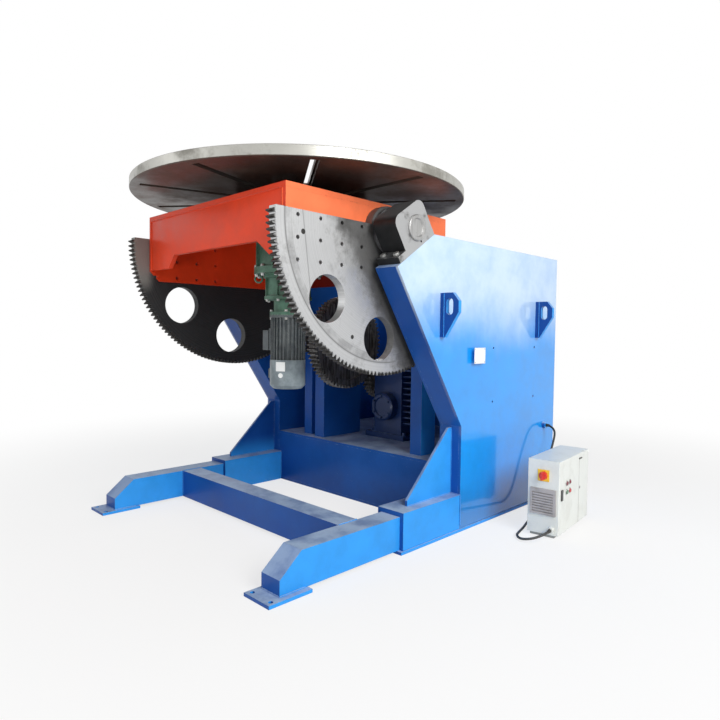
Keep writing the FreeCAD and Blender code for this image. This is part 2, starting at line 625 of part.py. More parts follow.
# ---- cheeks ---------------------------------------------------------------------------------
def cheek_outline():
    """Side view (y, z) of a cheek, from the lower front corner upwards."""
    slope = math.tan(math.radians(SEAT_SLOPE))
    foot_y = SEAT_DEPTH * math.sin(math.radians(SEAT_SLOPE))
    foot_z = AXIS_Z - SEAT_DEPTH * math.cos(math.radians(SEAT_SLOPE))
    nose_z = foot_z + (CHEEK_NOSE_Y - foot_y) * slope
    seat_end = foot_y + (CHEEK_TOP - foot_z) / slope
    return [(KNEE_Y, BASE_PLATE), (KNEE_Y, KNEE_Z), (CHEEK_NOSE_Y, nose_z), (seat_end, CHEEK_TOP),
            (CHEEK_REAR, CHEEK_TOP), (CHEEK_REAR, BASE_PLATE)]


def inset_plate(start, end, x0, x1, thickness):
    """Plate below the line from start to end, on the cheek's inside."""
    along = V(0, end[0] - start[0], end[1] - start[1])
    normal = V(0, along.z, -along.y).normalize() * thickness
    p = [V(x0, *start), V(x0, *end), V(x0, *end) + normal, V(x0, *start) + normal]
    return Part.Face(Part.makePolygon(p + [p[0]])).extrude(V(x1 - x0, 0, 0))


def cheeks():
    """Both cheeks: outer plate, inner plate and the plates that close the edge."""
    outline = cheek_outline()
    outer = profile_yz(outline, CHEEK_OUTER - CHEEK_PLATE, CHEEK_OUTER)
    taps = [rod(TAP_RADIUS, V(CHEEK_OUTER - CHEEK_PLATE - 1, y, z), V(CHEEK_OUTER + 1, y, z))
            for y in TAP_Y for z in TAP_Z]
    cable = V(CHEEK_OUTER - CHEEK_PLATE, CHEEK_REAR - CABLE_HOLE_SETBACK, CABLE_HOLE_Z)
    reach = V(CHEEK_PLATE + CABLE_GLAND_REACH, 0, 0)
    gland = rod(CABLE_HOLE_RADIUS, cable, cable + reach)
    bore = rod(GLAND_RADIUS, cable - V(1, 0, 0), cable + reach + V(1, 0, 0))
    inner = profile_yz(outline, CHEEK_INNER, CHEEK_INNER + CHEEK_PLATE)
    x0 = CHEEK_INNER + CHEEK_PLATE
    x1 = CHEEK_OUTER - CHEEK_PLATE
    whole = profile_yz(outline, x0, x1)
    edges = []
    for index, thickness in enumerate((CHEEK_PLATE, CHEEK_PLATE, SEAT_PLATE, CHEEK_PLATE, CHEEK_PLATE)):
        plate = inset_plate(outline[index], outline[index + 1], x0, x1, thickness).common(whole)
        for earlier in edges:
            plate = plate.cut(earlier)
        edges.append(plate)
    save("right_cheek_outer_plate", outer.cut(taps).fuse(gland).cut(bore))
    save("left_cheek_outer_plate", mirrored(outer.cut(taps)))
    save("right_cheek_inner_plate", inner)
    save("left_cheek_inner_plate", mirrored(inner))
    save("right_cheek_edge_plates", *edges)
    save("left_cheek_edge_plates", *[mirrored(plate) for plate in edges])


def lifting_lugs():
    """Four single-plate lugs with an oval eye, square to the cheeks' outer faces."""
    lugs = []
    x0 = CHEEK_OUTER
    x1 = CHEEK_OUTER + LUG_REACH
    middle = x0 + LUG_REACH * 0.52
    for y in LUG_PLACES:
        outline = [(x0, LUG_LOW), (x0, LUG_HIGH), (x1 - 38, LUG_HIGH), (x1, LUG_HIGH - 45),
                   (x1, LUG_HIGH - 105), (x0 + 32, LUG_LOW)]
        plate = profile_xz(outline, y - LUG_PLATE / 2, y + LUG_PLATE / 2)
        eye_low = V(middle, y - LUG_PLATE, LUG_HIGH - LUG_EYE_DROP)
        through = V(0, 2 * LUG_PLATE, 0)
        upper = eye_low + V(0, 0, LUG_EYE_STRETCH)
        eye = rod(LUG_EYE_RADIUS, eye_low, eye_low + through)
        eye = eye.fuse([rod(LUG_EYE_RADIUS, upper, upper + through),
                        block(middle - LUG_EYE_RADIUS, middle + LUG_EYE_RADIUS, y - LUG_PLATE,
                              y + LUG_PLATE, eye_low.z, upper.z)])
        lug = plate.cut(eye)
        lugs += [lug, mirrored(lug)]
    save("lifting_lugs", *lugs)


# ---- base -----------------------------------------------------------------------------------
def legs():
    """Box-section legs with a sloping nose, their foot plates and the cross beam."""
    rear = KNEE_Y - 40
    outer = [(LEG_NOSE, BASE_PLATE), (LEG_NOSE, LEG_NOSE_TOP), (LEG_SHOULDER, LEG_TOP),
             (rear, LEG_TOP), (rear, BASE_PLATE)]
    leg = profile_yz(outer, LEG_INNER, LEG_OUTER)
    tube = block(LEG_INNER + LEG_WALL, LEG_OUTER - LEG_WALL, LEG_SHOULDER + 20, rear + 1,
                 BASE_PLATE + LEG_WALL, LEG_TOP - LEG_WALL)
    leg = leg.cut(tube)
    save("right_leg", leg)
    save("left_leg", mirrored(leg))
    foot = block(FOOT_INNER, FOOT_OUTER, FOOT_FRONT, FOOT_REAR, 0, BASE_PLATE)
    middle = (FOOT_INNER + FOOT_OUTER) / 2
    holes = [rod(FOOT_HOLE_RADIUS, V(middle + side * FOOT_HOLE_PITCH / 2, FOOT_FRONT + FOOT_HOLE_SETBACK, -1),
                 V(middle + side * FOOT_HOLE_PITCH / 2, FOOT_FRONT + FOOT_HOLE_SETBACK, BASE_PLATE + 1))
             for side in (-1, 1)]
    foot = foot.cut(holes)
    save("foot_plates", foot, mirrored(foot))
    beam = block(-LEG_INNER, LEG_INNER, BEAM_FRONT, BEAM_REAR, BASE_PLATE, LEG_TOP)
    hollow = block(-LEG_INNER - 1, LEG_INNER + 1, BEAM_FRONT + LEG_WALL, BEAM_REAR - LEG_WALL,
                   BASE_PLATE + LEG_WALL, LEG_TOP - LEG_WALL)
    save("cross_beam", beam.cut(hollow))


def leg_sleeves():
    """Channels that hold the legs, their gussets, and the strips below the cheeks."""
    low_x = LEG_INNER - SLEEVE_FIT
    high_x = LEG_OUTER + SLEEVE_FIT
    top = LEG_TOP + SLEEVE_FIT
    sleeve = block(low_x - SLEEVE_WALL, high_x + SLEEVE_WALL, SLEEVE_FRONT, KNEE_Y,
                   BASE_PLATE, top + SLEEVE_WALL)
    sleeve = sleeve.cut(block(low_x, high_x, SLEEVE_FRONT - 1, KNEE_Y + 1, BASE_PLATE - 1, top))
    save("leg_sleeves", sleeve, mirrored(sleeve))
    middle = (CHEEK_INNER + CHEEK_OUTER) / 2
    roof = top + SLEEVE_WALL
    gusset = profile_yz([(GUSSET_TIP, roof), (GUSSET_TIP, roof + 30), (KNEE_Y - 30, GUSSET_TOP),
                         (KNEE_Y, GUSSET_TOP), (KNEE_Y, roof)],
                        middle - GUSSET_PLATE / 2, middle + GUSSET_PLATE / 2)
    save("sleeve_gussets", gusset, mirrored(gusset))
    strip = block(low_x - SLEEVE_WALL, CHEEK_OUTER + STRIP_MARGIN, SLEEVE_FRONT - STRIP_FRONT,
                  CHEEK_REAR + STRIP_REAR, 0, BASE_PLATE)
    edge = low_x - SLEEVE_WALL
    bottom = block(-edge, edge, KNEE_Y, CHEEK_REAR, 0, BASE_PLATE)
    save("base_plates", bottom, strip, mirrored(strip))


def centre_structure():
    """Apron, deck and rear panel between the cheeks, and the beam that ties their tops."""
    save("front_apron", block(-CHEEK_INNER, CHEEK_INNER, KNEE_Y, KNEE_Y + CHEEK_PLATE,
                              BASE_PLATE, DECK_TOP - CHEEK_PLATE))
    save("deck_plate", block(-CHEEK_INNER, CHEEK_INNER, KNEE_Y, CHEEK_REAR - CHEEK_PLATE,
                             DECK_TOP - CHEEK_PLATE, DECK_TOP))
    beam = block(-CHEEK_INNER, CHEEK_INNER, CHEEK_REAR - CHEEK_PLATE - TIE_DEPTH, CHEEK_REAR - CHEEK_PLATE,
                 CHEEK_TOP - TIE_HEIGHT, CHEEK_TOP)
    hollow = block(-CHEEK_INNER - 1, CHEEK_INNER + 1, CHEEK_REAR - CHEEK_PLATE - TIE_DEPTH + LEG_WALL,
                   CHEEK_REAR - CHEEK_PLATE - LEG_WALL, CHEEK_TOP - TIE_HEIGHT + LEG_WALL, CHEEK_TOP - LEG_WALL)
    save("rear_tie_beam", beam.cut(hollow))
    save("rear_panel", block(-CHEEK_INNER, CHEEK_INNER, CHEEK_REAR - CHEEK_PLATE, CHEEK_REAR,
                             BASE_PLATE, CHEEK_TOP))


# ---- tilt drive -----------------------------------------------------------------------------
def shaft_housing(x0, x1):
    """Plummer block round the tilt shaft, standing on its column."""
    y, z = SHAFT_Y, SHAFT_Z
    body = block(x0, x1, y - HOUSING_RADIUS, y + HOUSING_RADIUS, SUPPORT_TOP, z)
    foot = block(x0, x1, y - HOUSING_FOOT, y + HOUSING_FOOT, SUPPORT_TOP, SUPPORT_TOP + 18)
    dome = rod(HOUSING_RADIUS, V(x0, y, z), V(x1, y, z))
    bore = rod(TILT_SHAFT_RADIUS + RUNNING_GAP, V(x0 - 1, y, z), V(x1 + 1, y, z))
    return body.fuse([foot, dome]).cut(bore)


def shaft_supports():
    """Two box columns and the deep pedestal, with a plummer block on each."""
    posts = [block(*span, SHAFT_Y - COLUMN_FRONT, SHAFT_Y + COLUMN_BACK, DECK_TOP, SUPPORT_TOP)
             for span in (LEFT_COLUMN, RIGHT_COLUMN)]
    save("shaft_columns", *posts)
    save("drive_pedestal", block(*PEDESTAL, SHAFT_Y - PEDESTAL_FRONT, SHAFT_Y + PEDESTAL_BACK,
                                 DECK_TOP, SUPPORT_TOP))
    housings = [shaft_housing(x0 + HOUSING_INSET, x1 - HOUSING_INSET)
                for x0, x1 in (LEFT_COLUMN, RIGHT_COLUMN, PEDESTAL)]
    flange = turned([(TILT_SHAFT_RADIUS + RUNNING_GAP, 0), (60, 0), (62, 16), (95, 16), (95, 30),
                     (TILT_SHAFT_RADIUS + RUNNING_GAP, 30)], V(CHEEK_INNER - 30, SHAFT_Y, SHAFT_Z), V(1, 0, 0))
    save("shaft_bearings", *(housings + [flange, mirrored(flange)]))


def tilt_shafts():
    """Left shaft with sector pinion and bull gear, right stub shaft with its pinion."""
    mesh = math.radians(TILT_PINION_ANGLE)
    phase = mesh + math.pi + math.pi / TILT_PINION_TEETH
    face = 1.0
    pinion = gear_along_x(SECTOR_MODULE, TILT_PINION_TEETH, phase, SECTOR_INNER + face,
                          SECTOR_OUTER - face, SHAFT_Y, SHAFT_Z)
    end = CHEEK_INNER - 1
    right_bore = rod(TILT_SHAFT_RADIUS, V(RIGHT_COLUMN[0] - RIGHT_SHAFT_OVERHANG, SHAFT_Y, SHAFT_Z), V(end, SHAFT_Y, SHAFT_Z))
    save("right_tilt_shaft", right_bore)
    save("right_tilt_pinion", pinion.cut(right_bore))
    save("left_tilt_pinion", mirrored(pinion.cut(right_bore)))
    inner_end = BULL_X + BULL_WIDTH / 2 + BULL_SHAFT_OVERHANG
    left = rod(TILT_SHAFT_RADIUS, V(-end, SHAFT_Y, SHAFT_Z), V(inner_end, SHAFT_Y, SHAFT_Z))
    save("left_tilt_shaft", left)
    line = math.atan2(BULL_PINION_Z - SHAFT_Z, WORM_OUT_Y - SHAFT_Y)
    x0 = BULL_X - BULL_WIDTH / 2
    x1 = BULL_X + BULL_WIDTH / 2
    wheel = gear_along_x(BULL_MODULE, BULL_TEETH, line, x0, x1, SHAFT_Y, SHAFT_Z, 1)
    rim_inner = BULL_MODULE * BULL_TEETH / 2 - BULL_RIM
    recess = (V(x0 - 1, SHAFT_Y, SHAFT_Z), V(x0 + BULL_RECESS, SHAFT_Y, SHAFT_Z))
    ring = rod(rim_inner, *recess).cut(rod(BULL_HUB_RADIUS, *recess))
    other = ring.copy()
    other.translate(V(BULL_WIDTH - BULL_RECESS + 1, 0, 0))
    wheel = wheel.cut([ring, other, left])
    save("bull_gear", wheel)
    out_phase = line + math.pi + math.pi / BULL_PINION_TEETH
    small = gear_along_x(BULL_MODULE, BULL_PINION_TEETH, out_phase, x0, x1, WORM_OUT_Y, BULL_PINION_Z)
    shaft = rod(PINION_SHAFT_RADIUS, V(x0 - 12, WORM_OUT_Y, BULL_PINION_Z), V(GEARBOX_X[0], WORM_OUT_Y, BULL_PINION_Z))
    save("gearbox_pinion", small.fuse(shaft))


def tilt_gearbox():
    """Worm gearbox with side fins on a foot plate, its front cover, and the motor behind it."""
    x0, x1 = GEARBOX_X
    y0 = WORM_OUT_Y - GEARBOX_HALF_DEPTH
    y1 = WORM_OUT_Y + GEARBOX_HALF_DEPTH
    middle = (x0 + x1) / 2
    floor = DECK_TOP + GEARBOX_FOOT
    foot = block(x0 - 75, x1 + 36, y0 - 16, y1 + 16, DECK_TOP, floor)
    body = block(x0, x1, y0, y1, floor, GEARBOX_TOP)
    body = body.makeFillet(22, [e for e in body.Edges if abs(e.CenterOfMass.z - GEARBOX_TOP) < 1])
    first_fin = WORM_Z - WORM_COVER_RADIUS - 17
    fins = [block(x1 - 2, x1 + GEARBOX_FIN_REACH, y0 + 20, y1 - 20, z, z + 8)
            for z in [first_fin + GEARBOX_FIN_PITCH * i for i in range(GEARBOX_FIN_COUNT)]]
    seat = V(x0, WORM_OUT_Y, BULL_PINION_Z)
    boss = rod(PINION_SHAFT_RADIUS + 27, seat - V(14, 0, 0), seat)
    housing = body.fuse([foot] + fins + [boss])
    save("tilt_gearbox", housing.cut(rod(PINION_SHAFT_RADIUS + RUNNING_GAP, seat - V(15, 0, 0), seat)))
    rim = WORM_COVER_RADIUS
    cover = turned([(0, 0), (rim, 0), (rim, 62), (rim - 12, 70), (rim - 30, 70), (rim - 36, 58), (0, 58)],
                   V(middle, y0, WORM_Z), V(0, -1, 0))
    save("gearbox_front_cover", cover)
    motor = finned_barrel(TILT_MOTOR_LENGTH, TILT_MOTOR_BODY_RADIUS, TILT_MOTOR_FIN_RADIUS, MOTOR_FIN_COUNT)
    motor = motor.fuse(Part.makeCylinder(TILT_MOTOR_FLANGE_RADIUS, 16))
    back = FreeCAD.Rotation(V(0, 0, 1), V(0, 1, 0))
    motor.Placement = FreeCAD.Placement(V(middle, y1, WORM_Z), back)
    save("tilt_motor", motor)
    hood = cowl(TILT_MOTOR_FIN_RADIUS + 2, TILT_COWL_DEPTH)
    hood.Placement = FreeCAD.Placement(V(middle, y1 + TILT_MOTOR_LENGTH, WORM_Z), back)
    save("tilt_motor_cowl", hood)


# ---- control cabinet ------------------------------------------------------------------------
def placed(shape):
    """Move a shape from the cabinet's own corner frame to its place on the floor."""
    shape.rotate(V(0, 0, 0), V(0, 0, 1), CABINET_TURN)
    shape.translate(V(CABINET_CORNER[0], CABINET_CORNER[1], 0))
    return shape


def control_cabinet():
    """Sheet-steel cabinet with a hinged door, isolator, fan filter, glands and push buttons."""
    w, d, h, s = CABINET_WIDTH, CABINET_DEPTH, CABINET_HEIGHT, CABINET_SHEET
    shell = block(-w, -DOOR_THICKNESS, 0, d, CABINET_FOOT, h)
    shell = shell.cut(block(-w + s, 0, s, d - s, CABINET_FOOT + s, h - s))
    entry = V(CABINET_GLAND[0], 0, CABINET_GLAND[1])
    reach = V(0, -CABLE_GLAND_REACH, 0)
    gland = rod(GLAND_RADIUS + 6, entry + V(0, s, 0), entry + reach)
    bore = rod(GLAND_RADIUS, entry + V(0, 2 * s, 0), entry + reach - V(0, 1, 0))
    save("cabinet_body", placed(shell.fuse(gland).cut(bore)))
    feet = [block(-w + 10, -30, y, y + 40, 0, CABINET_FOOT) for y in (20, d - 60)]
    save("cabinet_feet", *[placed(foot) for foot in feet])
    door = block(-DOOR_THICKNESS, 0, 1, d - 1, CABINET_FOOT + 1, h - 1)
    door = door.makeFillet(4, [e for e in door.Edges if abs(e.CenterOfMass.x) < 0.01])
    buttons = {name: (y, h - drop) for name, (y, drop) in BUTTONS.items()}
    holes = [rod(BUTTON_RADIUS + 0.2, V(-DOOR_THICKNESS - 1, y, z), V(1, y, z))
             for y, z in buttons.values()]
    save("cabinet_door", placed(door.cut(holes)))
    for name, (y, z) in buttons.items():
        save(name, placed(rod(BUTTON_RADIUS, V(2 - DOOR_THICKNESS, y, z), V(BUTTON_PROUD, y, z))))
    latch_top = h - LATCH_DROP
    save("door_latch", placed(block(0, 6, LATCH_Y, LATCH_Y + LATCH_WIDTH, latch_top - LATCH_HEIGHT, latch_top)))
    half = ISOLATOR_PLATE / 2
    middle = -w / 2
    knob_z = h - ISOLATOR_DROP
    plate = block(middle - half, middle + half, -4, 0, knob_z - half, knob_z + half)
    save("isolator_plate", placed(plate))
    knob = turned([(0, 0), (24, 0), (22, 14), (0, 14)], V(middle, -4, knob_z), V(0, -1, 0))
    grip = block(middle - 6, middle + 6, -34, -18, knob_z - 23, knob_z + 23)
    save("isolator_knob", placed(knob.fuse(grip)))
    low = knob_z - half - FILTER_GAP - FILTER_SIZE
    half = FILTER_SIZE / 2
    grille = block(middle - half, middle + half, -9, 0, low, low + FILTER_SIZE)
    louvres = [block(middle - half + 14, middle + half - 14, -10, -3, z, z + 6)
               for z in [low + 14 + FILTER_PITCH * i for i in range(FILTER_LOUVRES)]]
    save("fan_filter", placed(grille.cut(louvres)))


def main():
    """Build and write every node."""
    os.makedirs("parts", exist_ok=True)
    turntable()
    slewing_ring()
    rotation_pinion()
    tilting_box()
    sector_gears()
    trunnion_shafts()
    rotation_reducer()
    rotation_motor()
    pillow_blocks()
    cheeks()
    lifting_lugs()
    legs()
    leg_sleeves()
    centre_structure()
    shaft_supports()
    tilt_shafts()
    tilt_gearbox()
    control_cabinet()


main()
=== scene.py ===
"""Looks of a tilting and turning welding positioner: finishes, small fittings, light and camera."""
import logging
import math
from dataclasses import dataclass
from enum import Enum
from functools import lru_cache
from typing import Iterable, Optional, Sequence, Union

import bmesh
import bpy
from mathutils import Matrix, Vector


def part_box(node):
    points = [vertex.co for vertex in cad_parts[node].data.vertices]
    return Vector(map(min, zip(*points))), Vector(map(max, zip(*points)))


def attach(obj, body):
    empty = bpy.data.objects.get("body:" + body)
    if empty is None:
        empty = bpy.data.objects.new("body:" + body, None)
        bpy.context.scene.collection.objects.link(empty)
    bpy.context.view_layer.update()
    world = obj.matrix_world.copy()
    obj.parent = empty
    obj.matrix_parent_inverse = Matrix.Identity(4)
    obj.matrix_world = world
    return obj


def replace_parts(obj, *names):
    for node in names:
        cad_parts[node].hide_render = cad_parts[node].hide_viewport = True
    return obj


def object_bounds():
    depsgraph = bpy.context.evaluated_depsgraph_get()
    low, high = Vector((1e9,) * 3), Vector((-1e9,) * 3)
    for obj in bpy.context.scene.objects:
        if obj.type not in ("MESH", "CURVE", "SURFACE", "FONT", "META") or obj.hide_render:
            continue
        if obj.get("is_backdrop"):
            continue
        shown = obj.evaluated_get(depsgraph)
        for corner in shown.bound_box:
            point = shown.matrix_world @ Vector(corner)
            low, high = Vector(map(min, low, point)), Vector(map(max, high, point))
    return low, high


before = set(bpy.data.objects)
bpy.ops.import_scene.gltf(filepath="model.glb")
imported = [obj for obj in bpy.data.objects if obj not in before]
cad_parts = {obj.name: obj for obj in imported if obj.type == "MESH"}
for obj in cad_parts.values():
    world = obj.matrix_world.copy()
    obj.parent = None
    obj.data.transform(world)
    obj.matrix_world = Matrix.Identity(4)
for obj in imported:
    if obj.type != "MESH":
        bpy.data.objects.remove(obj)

LOG = logging.getLogger("positioner")
Colour = tuple[float, float, float, float]
Number = Union[float, "Wire"]

AXIS = Vector((0.0, -1.010, 1.690))          # a point of the tilt axis, which runs along X
WHITE: Colour = (1.0, 1.0, 1.0, 1.0)


def srgb(code: str) -> Colour:
    """Linear colour of a six-digit hexadecimal code.

    Args:
        code: The colour, as RRGGBB.

    Returns:
        Red, green, blue and alpha.
    """
    parts = [int(code[i:i + 2], 16) / 255 for i in (0, 2, 4)]
    linear = [p / 12.92 if p <= 0.04045 else ((p + 0.055) / 1.055) ** 2.4 for p in parts]
    return (linear[0], linear[1], linear[2], 1.0)


# ---- shader graphs ----------------------------------------------------------------------------
class Wire:
    """One output of a shader node, with the usual arithmetic signs."""

    def __init__(self, graph: "Graph", socket: bpy.types.NodeSocket) -> None:
        """Args:
            graph: The graph that the socket belongs to.
            socket: The output socket.
        """
        self.graph = graph
        self.socket = socket

    def _with(self, operation: str, other: object, swap: bool = False) -> "Wire":
        """Combine with another value through a Math or Vector Math node.

        Args:
            operation: The node's operation.
            other: Number, vector or wire.
            swap: Whether the other value comes first.

        Returns:
            The result.
        """
        values = (other, self) if swap else (self, other)
        kind = "ShaderNodeVectorMath" if self.socket.type == "VECTOR" else "ShaderNodeMath"
        return self.graph.node(kind, {"operation": operation}, dict(enumerate(values)))

    def __add__(self, other: Number) -> "Wire":
        """Sum."""
        return self._with("ADD", other)

    __radd__ = __add__

    def __sub__(self, other: Number) -> "Wire":
        """Difference."""
        return self._with("SUBTRACT", other)

    def __rsub__(self, other: Number) -> "Wire":
        """Difference from a plain number."""
        return self._with("SUBTRACT", other, swap=True)

    def __mul__(self, other: Number) -> "Wire":
        """Product; colours are multiplied by a colour."""
        if self.socket.type == "RGBA":
            return self.graph.mix(1.0, self, other, "MULTIPLY")
        return self._with("MULTIPLY", other)

    __rmul__ = __mul__

    def most(self, other: Number) -> "Wire":
        """The larger of two values."""
        return self._with("MAXIMUM", other)

    def least(self, other: Number) -> "Wire":
        """The smaller of two values."""
        return self._with("MINIMUM", other)

    def squared(self) -> "Wire":
        """The value times itself."""
        return self * self

    def size(self) -> "Wire":
        """Length of a vector."""
        return self.graph.node("ShaderNodeVectorMath", {"operation": "LENGTH"}, {0: self}, 1)

    def dot(self, other: "Wire") -> "Wire":
        """Dot product of two vectors."""
        return self.graph.node("ShaderNodeVectorMath", {"operation": "DOT_PRODUCT"},
                               {0: self, 1: other}, 1)

    def part(self, index: int) -> "Wire":
        """One component of a vector: 0, 1 or 2."""
        return self.graph.node("ShaderNodeSeparateXYZ", {}, {0: self}, index)

    def ramp(self, low: float, high: float, to_low: float = 0.0, to_high: float = 1.0) -> "Wire":
        """Smooth step from to_low, at or below low, to to_high, at or above high."""
        return self.graph.node("ShaderNodeMapRange", {"interpolation_type": "SMOOTHSTEP"},
                               {0: self, 1: low, 2: high, 3: to_low, 4: to_high})

    def below(self, full: float, none: float) -> "Wire":
        """Smooth step from 1, at or below full, to 0, at or above none."""
        return self.ramp(full, none, 1.0, 0.0)

    def band(self, start: float, full: float, until: float, end: float) -> "Wire":
        """1 from full to until, fading to 0 at start and end."""
        return self.ramp(start, full) * self.below(until, end)


class Graph:
    """Node tree of a material or world, built with short calls."""

    def __init__(self, owner: Union[bpy.types.Material, bpy.types.World]) -> None:
        """Args:
            owner: The material or world; its old nodes are removed.
        """
        owner.use_nodes = True
        self.tree = owner.node_tree
        self.tree.nodes.clear()

    def node(self, kind: str, settings: dict[str, object], values: dict[Union[int, str], object],
             output: Union[int, str] = 0) -> Wire:
        """Add a node of any type.

        Args:
            kind: The node's type name.
            settings: Its properties.
            values: Constant or wire for each input, by name or index.
            output: The output that the wire stands for.

        Returns:
            The chosen output.
        """
        made = self.tree.nodes.new(kind)
        for key, value in settings.items():
            setattr(made, key, value)
        for key, value in values.items():
            if isinstance(value, Wire):
                self.tree.links.new(value.socket, made.inputs[key])
            else:
                made.inputs[key].default_value = value
        if not made.outputs:
            return Wire(self, made.inputs[0])
        return Wire(self, made.outputs[output])

    def place(self) -> Wire:
        """Position in the part's frame at rest."""
        return self.node("ShaderNodeTexCoord", {}, {}, "Object")

    def facing(self) -> Wire:
        """Surface normal in the part's frame at rest."""
        return self.node("ShaderNodeTexCoord", {}, {}, "Normal")

    def noise(self, where: Wire, scale: float, detail: float = 4.0,
              stretch: Sequence[float] = (1, 1, 1), rough: float = 0.55) -> Wire:
        """Cloudy noise from 0 to 1.

        Args:
            where: The position.
            scale: Features per metre.
            detail: Octaves.
            stretch: Scale along each axis.
            rough: Weight of the finer octaves.

        Returns:
            The noise.
        """
        spot = where * tuple(scale * s for s in stretch)
        return self.node("ShaderNodeTexNoise", {},
                         {"Vector": spot, "Scale": 1.0, "Detail": detail, "Roughness": rough})

    def mix(self, share: Number, first: object, second: object, blend: str = "MIX") -> Wire:
        """Blend two colours.

        Args:
            share: Weight of the second.
            first: Colour or wire.
            second: Colour, number or wire.
            blend: Blending mode.

        Returns:
            The colour.
        """
        if isinstance(second, float):
            second = (second, second, second, 1.0)
        return self.node("ShaderNodeMix", {"data_type": "RGBA", "blend_type": blend},
                         {0: share, 6: first, 7: second}, 2)

    def grey(self, value: Wire) -> Wire:
        """A number as a grey colour."""
        return self.node("ShaderNodeCombineColor", {}, {0: value, 1: value, 2: value})

    def rounded(self, radius: float) -> Wire:
        """Normal as if every edge had this radius."""
        return self.node("ShaderNodeBevel", {"samples": 4}, {"Radius": radius})

    def edges(self, radius: float) -> Wire:
        """1 on edges and corners, 0 on open faces."""
        true = self.node("ShaderNodeNewGeometry", {}, {}, "Normal")
        return (1.0 - self.rounded(radius).dot(true)).ramp(0.01, 0.2)

    def surface(self, colour: object, rough: Number, metal: Number, height: Wire, depth: float,
                radius: float = 0.002, coat: float = 0.0, shine: float = 0.5,
                coat_index: float = 1.5) -> None:
        """Close the graph with the surface shader.

        Args:
            colour: Base colour.
            rough: Roughness.
            metal: Metallic share.
            height: Relief from 0 to 1.
            depth: Depth of the relief in metres.
            radius: Radius that edges show.
            coat: Clear coat.
            shine: Strength of the plain reflection; 0.5 is usual.
            coat_index: Refractive index of the coat.
        """
        relief = self.node("ShaderNodeBump", {}, {
            "Strength": 1.0, "Distance": depth, "Height": height, "Normal": self.rounded(radius)})
        shader = self.node("ShaderNodeBsdfPrincipled", {}, {
            "Base Color": colour, "Roughness": rough, "Metallic": metal, "Normal": relief,
            "Specular IOR Level": shine, "Coat Weight": coat, "Coat Roughness": 0.1,
            "Coat IOR": coat_index})
        self.node("ShaderNodeOutputMaterial", {}, {"Surface": shader})


# ---- finishes ---------------------------------------------------------------------------------
class Soil(str, Enum):
    """Colours of what gathers on the finishes or shows where they are worn; some also stand for
    painted shade, a painted shadow, a painted sheen or a painted reflection.
    """

    BRIGHT = "FFFFFF"
    # rust, also standing for a painted reddish reflection of the orange box under the table
    RUST_AND_REFLECTION = "4E392F"
    # grime brown, also used as painted shade on the rim's -X side
    GRIME_AND_SHADE = "3B3427"
    GREASE = "26231F"
    # painted sheen on the left sector
    PAINTED_SHEEN = "A3A39D"
    # dirt, and the painted shadow of the cheek on the sector
    DIRT_AND_SHADOW = "1F1D1B"
    WORN_EDGE = "B9B8B2"
    CUT_STAIN = "4A4845"


@dataclass(frozen=True)
class Coating:
    """What every finish has: a name, and a way to make its material."""

    name: str

    def build(self) -> bpy.types.Material:
        """Make the material.

        Returns:
            The material.
        """
        material = bpy.data.materials.new(self.name)
        graph = Graph(material)
        self.shade(graph, graph.place())
        return material

    def shade(self, graph: Graph, where: Wire) -> None:
        """Fill the material's graph.

        Args:
            graph: The graph.
            where: Position in the part's frame.
        """
        raise NotImplementedError


